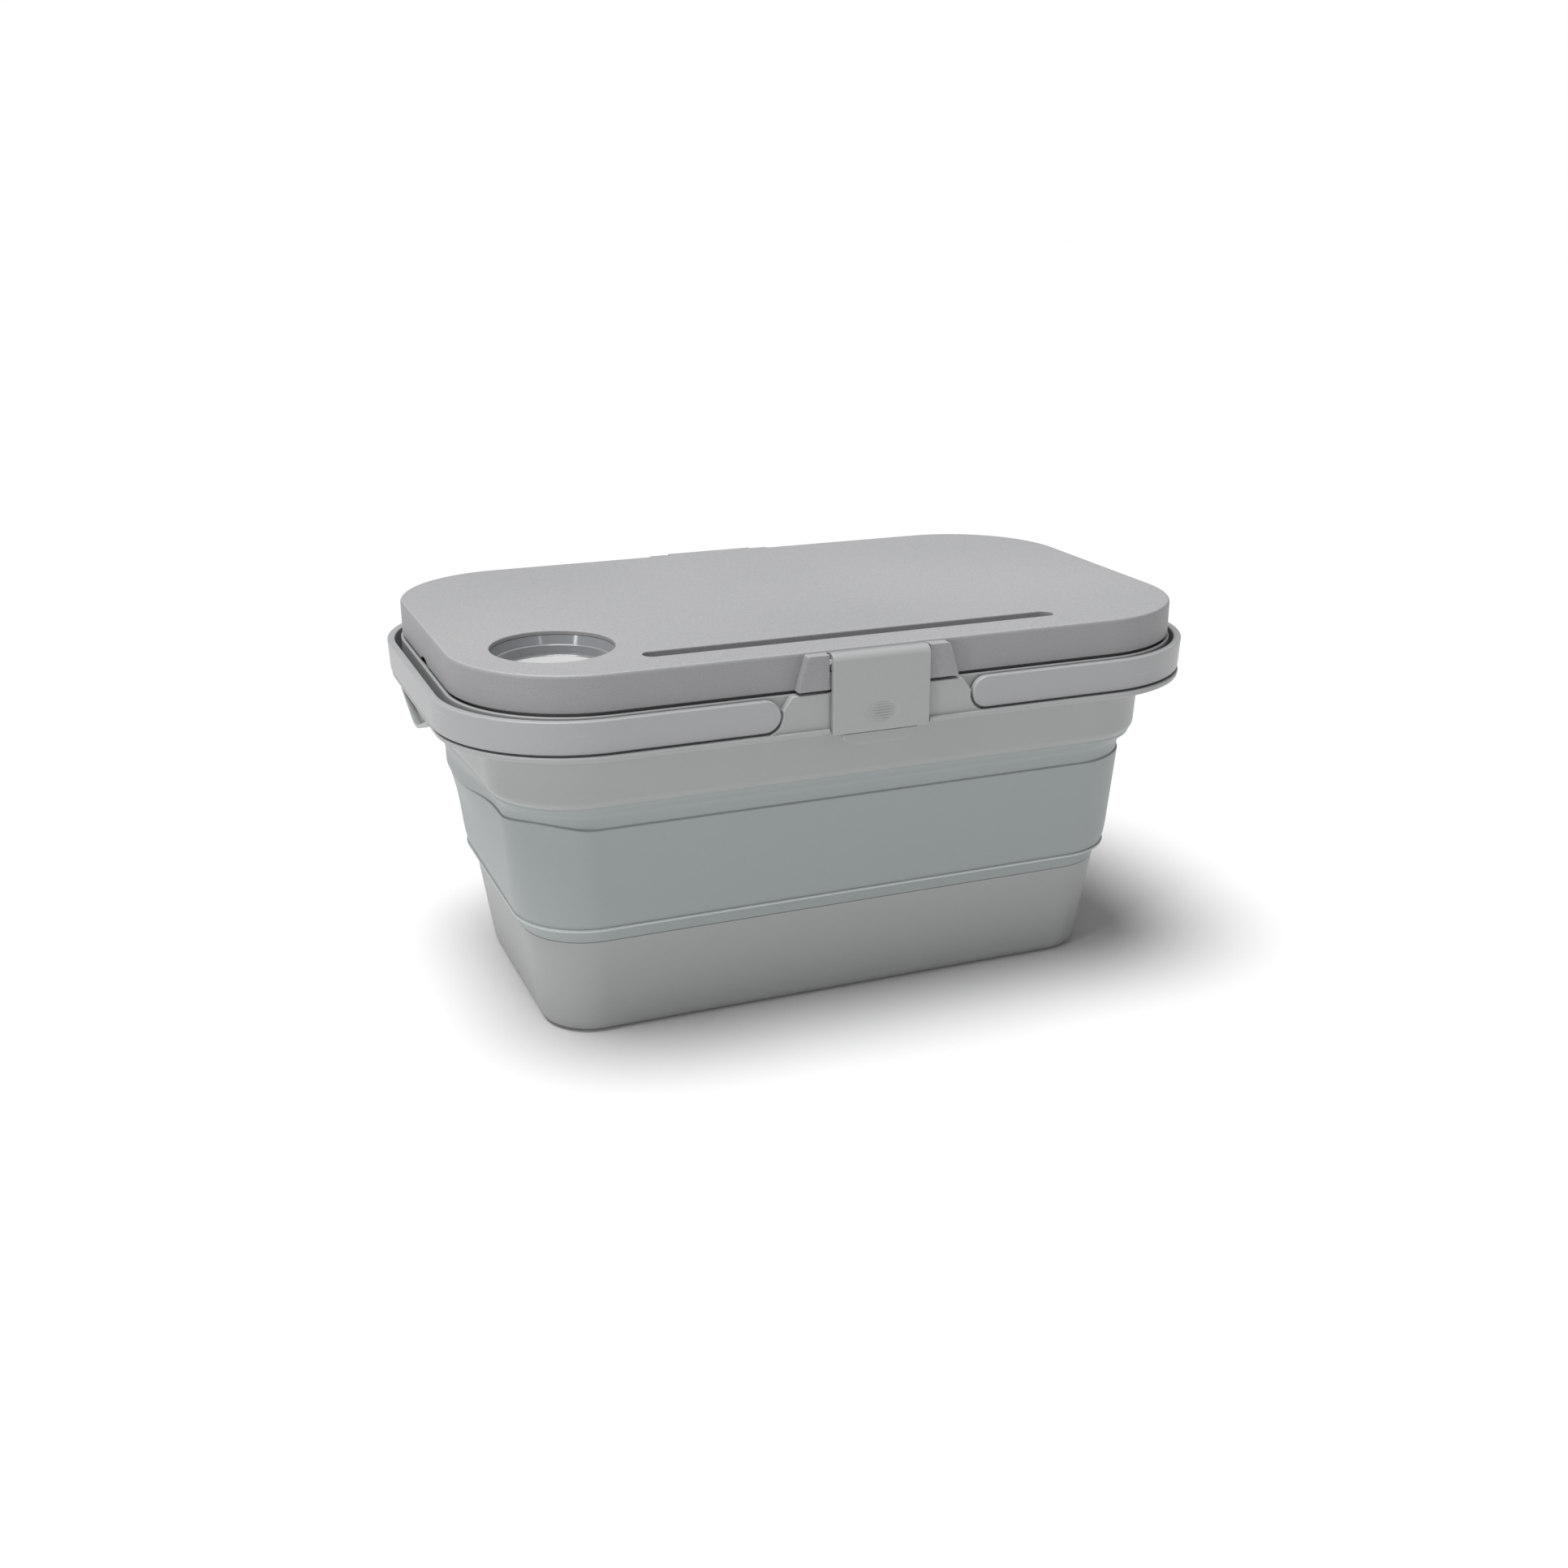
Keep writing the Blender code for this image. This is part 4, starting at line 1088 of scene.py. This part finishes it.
@dataclass
class Lid:
    """The lid: grained table top, skirt, latch bosses, cup hole, tablet slot and finger notches."""

    plan: Plan
    wardrobe: Wardrobe
    wall: float = 2.4 * MM
    edge: float = 2.2 * MM
    boss_stand: float = 6.5 * MM
    boss_top_half: float = 44 * MM
    boss_foot_half: float = 50 * MM
    notch_half: float = NOTCH_HALF
    notch_face: float = NOTCH_FACE
    knuckle_room: float = 5.9 * MM
    bore_radius: float = 1.65 * MM
    bore_reach: float = 5.3 * MM
    finger_radius: float = 20 * MM
    finger_rise: float = 3 * MM
    finger_reach: float = 6 * MM
    cup_centre: Point2 = CUP_CENTRE
    cup_radius: float = CUP_RADIUS
    slot_centre: Point2 = (1.2 * MM, -107.5 * MM)
    slot_length: float = 259.2 * MM
    slot_width: float = 11.5 * MM
    slot_depth: float = 8 * MM
    rib_inset: float = 5.5 * MM
    rib: float = 2 * MM
    rib_depth: float = 6 * MM

    def shell(self, foot: float, top: float) -> bpy.types.Mesh:
        """Lofts the tray-shaped shell with its locating rib."""
        corner = self.plan.corner
        under = top - self.wall
        rib_foot = foot - self.rib_depth
        levels = [
            Level(14 * MM, top, corner - 14 * MM),
            Level(0.0, top, corner, self.edge),
            Level(0.0, foot, corner, 0.6 * MM),
            Level(self.wall, foot, corner - self.wall, 0.4 * MM),
            Level(self.wall, under, corner - self.wall, 1.5 * MM),
            Level(self.rib_inset, under, corner - self.rib_inset, 0.4 * MM),
            Level(self.rib_inset, rib_foot, corner - self.rib_inset, 0.6 * MM),
            Level(self.rib_inset + self.rib, rib_foot, corner - self.rib_inset - self.rib, 0.6 * MM),
            Level(self.rib_inset + self.rib, under, corner - self.rib_inset - self.rib, 1.0 * MM),
            Level(14 * MM, under, corner - 14 * MM),
        ]
        return lofted("lid_shell", self.plan, softened(levels, False, 7), False)

    def boss(self, side: Side, foot: float, top: float) -> bpy.types.Mesh:
        """Extrudes the boss that holds a latch's pin."""
        outline = mirrored([(self.boss_foot_half, foot), (self.boss_top_half, top - 1.2 * MM)])
        radii = [0.4 * MM, 1.5 * MM, 1.5 * MM, 0.4 * MM]
        face = self.plan.width / 2 + self.boss_stand
        back = self.plan.width / 2 - 0.6 * self.wall
        low, high = sorted((side.value * face, side.value * back))
        return slab("lid_boss", rounded_path(outline, radii), low, high, "Y", 1.3 * MM, 4)

    def slot_outline(self, grow: float) -> list[Point2]:
        """Lists the outline of the tablet slot, grown on every side."""
        radius = self.slot_width / 2 + grow
        reach = self.slot_length / 2 - self.slot_width / 2
        points = []
        for sign in (1, -1):
            for step in range(13):
                angle = math.pi * (step / 12 - 0.5)
                points.append((self.slot_centre[0] + sign * (reach + radius * math.cos(angle)),
                               self.slot_centre[1] + sign * radius * math.sin(angle)))
        return points

    def chamfer(self, outline: Callable[[float], list[Point2]], top: float, width: float) -> bpy.types.Mesh:
        """Lofts the cutter that rounds an opening's upper edge.

        Args:
            outline: gives the opening's outline grown by a distance.
            top: height of the lid's top.
            width: width of the rounding.

        Returns:
            A closed mesh that flares towards the top.
        """
        form = bmesh.new()
        rows = []
        for step in range(6):
            angle = math.pi / 2 * step / 5
            grow = width * (1 - math.cos(angle))
            height = top - width * (1 - math.sin(angle))
            rows.append([form.verts.new((x, y, height)) for x, y in outline(grow)])
        rows.append([form.verts.new((x, y, top + width)) for x, y in outline(width)])
        form.faces.new(rows[0])
        form.faces.new(rows[-1])
        for lower, upper in zip(rows, rows[1:]):
            skin(form, lower, upper)
        return outward_mesh("edge_cut", form)

    def cup_outline(self, grow: float) -> list[Point2]:
        """Lists the outline of the cup hole, grown on every side."""
        radius = self.cup_radius + grow
        return [(self.cup_centre[0] + radius * math.cos(math.tau * step / 96),
                 self.cup_centre[1] + radius * math.sin(math.tau * step / 96)) for step in range(96)]

    def build(self) -> bpy.types.Object:
        """Builds the lid in place of the frame's plain one."""
        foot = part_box("rim_frame")[1].z + 1.8 * MM
        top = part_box("lid")[1].z
        _, pin_y, pin_z = box_middle("front_latch_pin")
        pin_y = abs(pin_y)
        trough = slab("trough", self.slot_outline(self.wall), top - self.slot_depth - self.wall,
                      top - 0.5 * self.wall, "Z")
        joined = [trough] + [self.boss(side, foot, top) for side in Side]
        cut = [slab("slot_cut", self.slot_outline(0.0), top - self.slot_depth, top + 5 * MM, "Z"),
               self.chamfer(self.slot_outline, top, 0.9 * MM),
               slab("cup_cut", self.cup_outline(0.0), top - 5 * MM, top + 5 * MM, "Z"),
               self.chamfer(self.cup_outline, top, 0.9 * MM)]
        for side in Side:
            cut.append(notch_cutter("boss_notch", side, self.notch_half, self.notch_face,
                                    foot - 5 * MM, top + 5 * MM))
            centre = (0.0, side.value * pin_y, pin_z)
            cut.append(cylinder("knuckle_room", self.knuckle_room, centre, self.notch_half, "X"))
            cut.append(cylinder("pin_bore", self.bore_radius, centre,
                                self.notch_half + self.bore_reach, "X", 24))
        for end in End:
            centre = (end.value * self.plan.length / 2, 0.0, foot + self.finger_rise - self.finger_radius)
            cut.append(cylinder("finger_notch", self.finger_radius, centre, self.finger_reach, "X", 160))
        lid = carved(add_object("lid_shell", self.shell(foot, top)), joined, cut)
        self.wardrobe.dress(smoothed(lid, 34.0), LID_PLASTIC)
        # Painted shade: the lid's steep sides get the darker side finish.
        self.wardrobe.paint_side_shade(lid, SIDE_SHADE_PLASTIC, foot - 0.1 * MM)
        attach(lid, "lid")
        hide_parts("lid")
        report(lid)
        return lid


@dataclass
class CupLiner:
    """The cup holder's liner: a polished, stepped wall painted darker as shade, and a floor painted paler
    as light.
    """

    wardrobe: Wardrobe
    centre: Point2 = CUP_CENTRE
    radius: float = CUP_RADIUS
    step: float = 2.6 * MM
    draft: float = 1.6 * MM
    band: float = 8 * MM
    depth: float = 14.5 * MM
    wall: float = 2 * MM
    flange: float = 5 * MM

    def build(self, top: float) -> bpy.types.Object:
        """Builds the liner under the lid's top.

        Args:
            top: height of the lid's top.

        Returns:
            The liner.
        """
        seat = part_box("cup_holder_insert")[1].z
        floor = top - self.depth
        narrow = self.radius - self.step
        profile = [(0.0, floor), (narrow - 2 * MM, floor)]
        profile += [(narrow - 2 * MM + 2 * MM * math.sin(math.pi / 2 * step / 5),
                     floor + 2 * MM * (1 - math.cos(math.pi / 2 * step / 5))) for step in range(1, 6)]
        profile += [(narrow, top - self.band - 0.3 * MM), (narrow + 0.3 * MM, top - self.band),
                    (self.radius - self.draft, top - self.band + 0.2 * MM),
                    (self.radius, seat), (self.radius + self.flange, seat),
                    (self.radius + self.flange, seat - self.wall),
                    (self.radius + self.wall, seat - self.wall),
                    (self.radius + self.wall, floor - self.wall + 1.5 * MM),
                    (self.radius + self.wall - 1.5 * MM, floor - self.wall), (0.0, floor - self.wall)]
        liner = add_object("cup_liner", turned("cup_liner", profile, self.centre))
        # Painted light and shade: the wall gets the darker finish, the upward floor the pale one.
        liner.data.materials.append(self.wardrobe.material(SHADED_POLISHED_PLASTIC))
        liner.data.materials.append(self.wardrobe.material(PIN_AND_LIT_FLOOR_PLASTIC))
        for face in liner.data.polygons:
            if face.normal.z > 0.95 and face.center.z < floor + 0.5 * MM:
                face.material_index = 1
        smoothed(liner, 40.0)
        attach(liner, "lid")
        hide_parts("cup_holder_insert")
        report(liner)
        return liner


@dataclass
class Latch:
    """A latch plate with a round knuckle and an oval, ribbed finger pad."""

    side: Side
    wardrobe: Wardrobe
    width: float = 60 * MM
    thickness: float = 4.2 * MM
    knuckle: float = 5.2 * MM
    edge: float = 0.9 * MM
    pad_width: float = 21.5 * MM
    pad_height: float = 13 * MM
    pad_rise: float = 11.5 * MM
    ridge_count: int = 7
    ridge_radius: float = 0.5 * MM

    def plate(self, pin_y: float, pin_z: float, foot: float) -> bpy.types.Mesh:
        """Extrudes the plate's side outline across the latch."""
        sign = self.side.value
        outline = [(sign * (pin_y + self.knuckle * math.cos(angle)), pin_z + self.knuckle * math.sin(angle))
                   for angle in (math.pi * step / 20 for step in range(27))]
        back = pin_y + self.knuckle - self.thickness
        outline = [point for point in outline if point[1] > pin_z or abs(point[0]) < back]
        outline += [(sign * back, pin_z - self.knuckle), (sign * back, foot),
                    (sign * (pin_y + self.knuckle), foot)]
        radii = [0.0] * (len(outline) - 3) + [0.0, 0.8 * MM, 1.2 * MM]
        half = self.width / 2
        return slab("latch_plate", rounded_path(outline, radii), -half, half, "X", self.edge, 4)

    def ridges(self, face: float, middle: float) -> bpy.types.Mesh:
        """Repeats the finger pad's ridges with Geometry Nodes.

        Args:
            face: the plate's outer face, as a signed Y.
            middle: height of the pad's middle.

        Returns:
            The ridges as one mesh, each as long as the oval is wide there.
        """
        recipe = NodeRecipe(self.side.name.lower() + "_finger_ridges")
        height = recipe.number("Pad height", self.pad_height)
        width = recipe.number("Pad width", self.pad_width)
        radius = recipe.number("Ridge radius", self.ridge_radius)
        count = recipe.number("Ridge count", self.ridge_count, "NodeSocketInt")
        index = recipe.node("GeometryNodeInputIndex").outputs[0]
        share = recipe.math("DIVIDE", recipe.math("ADD", index, 1.0), recipe.math("ADD", count, 1.0))
        signed = recipe.math("MULTIPLY_ADD", share, 2.0, -1.0)
        chord = recipe.math("SQRT", recipe.math("SUBTRACT", 1.0, recipe.math("MULTIPLY", signed, signed)))
        reach = recipe.math("MULTIPLY", chord, recipe.math("MULTIPLY", width, 0.5))
        rise = recipe.math("MULTIPLY", signed, recipe.math("MULTIPLY", height, 0.5))
        place = recipe.node("ShaderNodeCombineXYZ", {"Z": rise})
        points = recipe.node("GeometryNodeMeshLine", {"Count": count})
        spread = recipe.node("GeometryNodeSetPosition", {"Geometry": points.outputs[0],
                                                         "Position": place.outputs[0]})
        bar = recipe.node("GeometryNodeMeshUVSphere", values={"Segments": 20, "Rings": 10, "Radius": 1.0})
        scale = recipe.node("ShaderNodeCombineXYZ", {"X": reach, "Y": radius, "Z": radius})
        rows = recipe.node("GeometryNodeInstanceOnPoints", {"Points": spread.outputs[0],
                           "Instance": bar.outputs[0], "Scale": scale.outputs[0]})
        smooth = recipe.node("GeometryNodeSetShadeSmooth", {"Geometry": rows.outputs[0]})
        mesh = recipe.run(self.side.name.lower() + "_finger_ridges", smooth.outputs[0],
                          self.wardrobe.material(BODY_PLASTIC))
        mesh.transform(Matrix.Translation((0.0, face, middle)))
        return mesh

    def build(self) -> list[bpy.types.Object]:
        """Builds the latch and its ridges in place of the frame's plain latch."""
        name = self.side.name.lower() + "_latch"
        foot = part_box(name)[0].z
        _, pin_y, pin_z = box_middle(name + "_pin")
        pin_y = abs(pin_y)
        face = self.side.value * (pin_y + self.knuckle)
        middle = foot + self.pad_rise
        dish = bmesh.new()
        bmesh.ops.create_uvsphere(dish, u_segments=64, v_segments=32, radius=0.5)
        shape = Matrix.Translation((0.0, face, middle)) @ Matrix.Diagonal(
            (self.pad_width, 0.9 * MM, self.pad_height, 1.0))
        bmesh.ops.transform(dish, matrix=shape, verts=dish.verts)
        centre = (0.0, self.side.value * pin_y, pin_z)
        cut = [outward_mesh("pad_dish", dish), cylinder("pin_bore", 1.9 * MM, centre, self.width, "X", 24)]
        plate = carved(add_object(name + "_plate", self.plate(pin_y, pin_z, foot)), (), cut)
        self.wardrobe.dress(smoothed(plate, 34.0), BODY_PLASTIC)
        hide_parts(name)
        ridges = add_object(name + "_ridges", self.ridges(face - self.side.value * 0.5 * MM, middle))
        for piece in (plate, ridges):
            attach(piece, name)
            report(piece)
        return [plate, ridges]


@dataclass
class Handle:
    """A U-shaped band round one end, with round tips and softly rounded edges."""

    end: End
    wardrobe: Wardrobe
    thickness: float = 4.7 * MM
    corner: float = 83 * MM
    draft: float = 1 * MM
    edge: float = 0.9 * MM
    hole_radius: float = PIVOT_HOLE_RADIUS
    hole_depth: float = 2.8 * MM
    pivot_offset: float = PIVOT_OFFSET
    corner_steps: int = 24
    tip_steps: int = 14
    edge_steps: int = 4

    def route(self, half_length: float, half_width: float) -> list[tuple[Point2, Point2, float]]:
        """Lists the band's stations from the front tip to the rear tip.

        Args:
            half_length: reach of the band's outer face from the crate's middle.
            half_width: half the band's width over its outer faces.

        Returns:
            For each station: its point in plan, the outward direction, and how far
            past the pivot it lies towards the tip, 0 elsewhere, 1 at the very tip.
        """
        front = []
        for step in range(self.tip_steps):
            angle = math.pi / 2 * step / self.tip_steps
            front.append(((-self.pivot_offset, -half_width), (0.0, -1.0), math.cos(angle)))
        straight = [((-self.pivot_offset, -half_width), (0.0, -1.0), 0.0)]
        centre_x = half_length - self.corner
        centre_y = half_width - self.corner
        bend = []
        for first, sign_y in ((270, -1), (180, 1)):
            for step in range(self.corner_steps + 1):
                angle = math.radians(first - 90 * step / self.corner_steps)
                out = (math.cos(angle), math.sin(angle))
                place = (-centre_x + self.corner * out[0], sign_y * centre_y + self.corner * out[1])
                bend.append((place, out, 0.0))
        rear = [((x, -y), (nx, -ny), share) for (x, y), (nx, ny), share in reversed(front + straight)]
        return front + straight + bend + rear

    def mesh(self, low: Vector, high: Vector) -> bpy.types.Mesh:
        """Skins the band from loops that follow its rounded edges.

        Args:
            low: lowest corner of the frame's plain handle.
            high: highest corner.

        Returns:
            A closed mesh of the left handle, turned for the right one.
        """
        radius = (high.z - low.z) / 2
        middle = (high.z + low.z) / 2
        reach = max(abs(low.x), abs(high.x))
        stations = self.route(reach, high.y)
        quarter = [math.pi / 2 * step / self.edge_steps for step in range(self.edge_steps, -1, -1)]
        profile = [(self.edge - self.edge * math.sin(angle), self.edge - self.edge * math.cos(angle))
                   for angle in quarter]
        profile += [(self.thickness - depth, shrink) for depth, shrink in profile[::-1]]
        form = bmesh.new()
        rings = []
        for depth, shrink in profile:
            top_row = []
            low_row = []
            for (x, y), (out_x, out_y), share in stations:
                half = (radius - shrink) * math.sqrt(max(0.0, 1 - share * share))
                ahead = (radius - shrink) * share
                for row, sign in ((top_row, 1), (low_row, -1)):
                    pull = depth
                    if depth < self.thickness / 2:
                        pull += self.draft * (1 - sign * half / radius) / 2
                    row.append((x + ahead - out_x * pull, y - out_y * pull, middle + sign * half))
            rings.append([form.verts.new(point) for point in top_row + low_row[-2:0:-1]])
        for lower, upper in zip(rings, rings[1:]):
            skin(form, lower, upper)
        for ring in (rings[0], rings[-1]):
            count = len(ring)
            for index in range(len(stations) - 1):
                corners = (ring[index], ring[index + 1], ring[-(index + 1) % count], ring[-index % count])
                form.faces.new(list(dict.fromkeys(corners)))
        mesh = outward_mesh("handle_band", form)
        if self.end is End.RIGHT:
            mesh.transform(Matrix.Rotation(math.pi, 4, "Z"))
        return mesh

    def build(self) -> bpy.types.Object:
        """Builds the band in place of the frame's plain handle."""
        name = self.end.name.lower() + "_handle"
        low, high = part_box(name)
        band = add_object(name + "_band", self.mesh(low, high))
        middle = (low.z + high.z) / 2
        inner = high.y - self.thickness
        cut = [cylinder("pin_hole", self.hole_radius,
                        (self.end.value * self.pivot_offset, side.value * inner, middle),
                        self.hole_depth, "Y", 32) for side in Side]
        carved(band, (), cut)
        self.wardrobe.dress(smoothed(band, 34.0), HANDLE_PLASTIC)
        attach(band, name)
        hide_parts(name)
        report(band)
        return band


@dataclass
class HiddenPins:
    """The frame's own pins and clips, which keep their shape and get a finish."""

    wardrobe: Wardrobe
    nodes: list[str] = field(default_factory=list)

    def build(self) -> None:
        """Dresses each pin and clip node."""
        for name in self.nodes:
            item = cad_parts[name]
            self.wardrobe.dress(item, PIN_AND_LIT_FLOOR_PLASTIC)
            report(item)


# ---------------------------------------------------------------------------
# Studio
# ---------------------------------------------------------------------------


def facing(place: Point3, target: Point3) -> Euler:
    """Returns the rotation that turns a light or a camera at a place towards a target."""
    return (Vector(target) - Vector(place)).to_track_quat("-Z", "Y").to_euler()


@dataclass
class Studio:
    """A pale floor, soft light and the camera."""

    lens_mm: float = 40.18
    sensor_mm: float = 36.0
    eye: Point3 = (-0.4073, -1.0054, 0.4915)
    target: Point3 = (-0.0007, 0.0, 0.1086)
    floor_radius: float = 12.0
    ambient: float = 0.20
    light_target: Point3 = (0.0, 0.0, 0.12)
    box_height: float = 0.9
    overhead_strength: float = 3.55
    overhead_spread: float = 36.0
    overhead_tilt: Point2 = (1.0, -12.0)

    def camera(self) -> None:
        """Sets up the camera."""
        data = bpy.data.cameras.new("camera")
        data.lens = self.lens_mm
        data.sensor_width = self.sensor_mm
        item = add_object("camera", data)
        item.location = self.eye
        item.rotation_euler = facing(self.eye, self.target)
        bpy.context.scene.camera = item

    def floor(self) -> None:
        """Lays the pale floor."""
        form = bmesh.new()
        bmesh.ops.create_circle(form, cap_ends=True, segments=96, radius=self.floor_radius)
        item = add_object("studio_floor", outward_mesh("studio_floor", form))
        made = bpy.data.materials.new("matt_white_paper")
        made.use_nodes = True
        tree = made.node_tree
        shader = tree.nodes["Principled BSDF"]
        place = add_node(tree, "ShaderNodeTexCoord").outputs["Object"]
        fibre = add_node(tree, "ShaderNodeTexNoise", {"Vector": place}, {"Scale": 3.0, "Detail": 2.0})
        tone = add_node(tree, "ShaderNodeMix", {"Factor": fibre.outputs["Fac"]},
                        {6: linear("e4e4e4"), 7: linear("e7e7e7")}, data_type="RGBA")
        tree.links.new(tone.outputs[2], shader.inputs["Base Color"])
        shader.inputs["Roughness"].default_value = 0.9
        shader.inputs["Specular IOR Level"].default_value = 0.1
        item.data.materials.append(made)

    def light(self, name: str, place: Point3, width: float, watts: float) -> None:
        """Stands one tall soft box that faces the crate."""
        data = bpy.data.lights.new(name, "AREA")
        data.shape = "RECTANGLE"
        data.size = width
        data.size_y = self.box_height
        data.energy = watts
        item = add_object(name, data)
        item.location = place
        item.rotation_euler = facing(place, self.light_target)

    def overhead(self) -> None:
        """Sets the wide overhead light, even over the whole floor."""
        data = bpy.data.lights.new("overhead", "SUN")
        data.energy = self.overhead_strength
        data.angle = math.radians(self.overhead_spread)
        item = add_object("overhead", data)
        item.rotation_euler = (*(math.radians(tilt) for tilt in self.overhead_tilt), 0.0)

    def surround(self) -> None:
        """Sets the even light of a white studio, brighter where the camera sees it."""
        world = bpy.data.worlds.new("white_studio")
        bpy.context.scene.world = world
        world.use_nodes = True
        tree = world.node_tree
        tree.nodes.clear()
        path = add_node(tree, "ShaderNodeLightPath")
        soft = add_node(tree, "ShaderNodeBackground",
                        values={"Color": (1, 1, 1, 1), "Strength": self.ambient})
        bright = add_node(tree, "ShaderNodeBackground", values={"Color": (1, 1, 1, 1), "Strength": 1.0})
        both = add_node(tree, "ShaderNodeMixShader", {0: path.outputs["Is Camera Ray"], 1: soft.outputs[0],
                                                      2: bright.outputs[0]})
        add_node(tree, "ShaderNodeOutputWorld", {"Surface": both.outputs[0]})

    def build(self) -> None:
        """Sets up the whole studio."""
        scene = bpy.context.scene
        scene.view_settings.view_transform = "Standard"
        self.camera()
        self.floor()
        self.surround()
        self.overhead()
        self.light("left_box", (-1.90, -1.05, 0.62), 0.16, 7.0)
        self.light("front_strip", (0.12, -2.05, 0.62), 0.10, 2.2)


def main() -> None:
    """Builds the studio and every sub-assembly in order."""
    logging.basicConfig(level=logging.INFO, format="%(name)s %(message)s")
    Studio().build()
    wardrobe = Wardrobe()
    lid_low, lid_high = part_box("lid")
    rim_low, rim_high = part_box("rim_frame")
    plan = Plan(length=lid_high.x - lid_low.x, width=274 * MM, corner=74.6 * MM)
    LOG.info("lid %.4f high, rim %.4f long", lid_high.z, rim_high.x - rim_low.x)
    tub = BaseTub(plan, wardrobe)
    tub.build()
    FoldingWall(plan, wardrobe, tub).build()
    UpperCollar(plan, wardrobe).build()
    RimFrame(plan, wardrobe).build()
    Lid(plan, wardrobe).build()
    CupLiner(wardrobe).build(lid_high.z)
    for side in Side:
        Latch(side, wardrobe).build()
    for end in End:
        Handle(end, wardrobe).build()
    pins = [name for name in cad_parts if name.endswith(("_pin", "_clip"))]
    HiddenPins(wardrobe, pins).build()


if __name__ == "__main__":
    main()
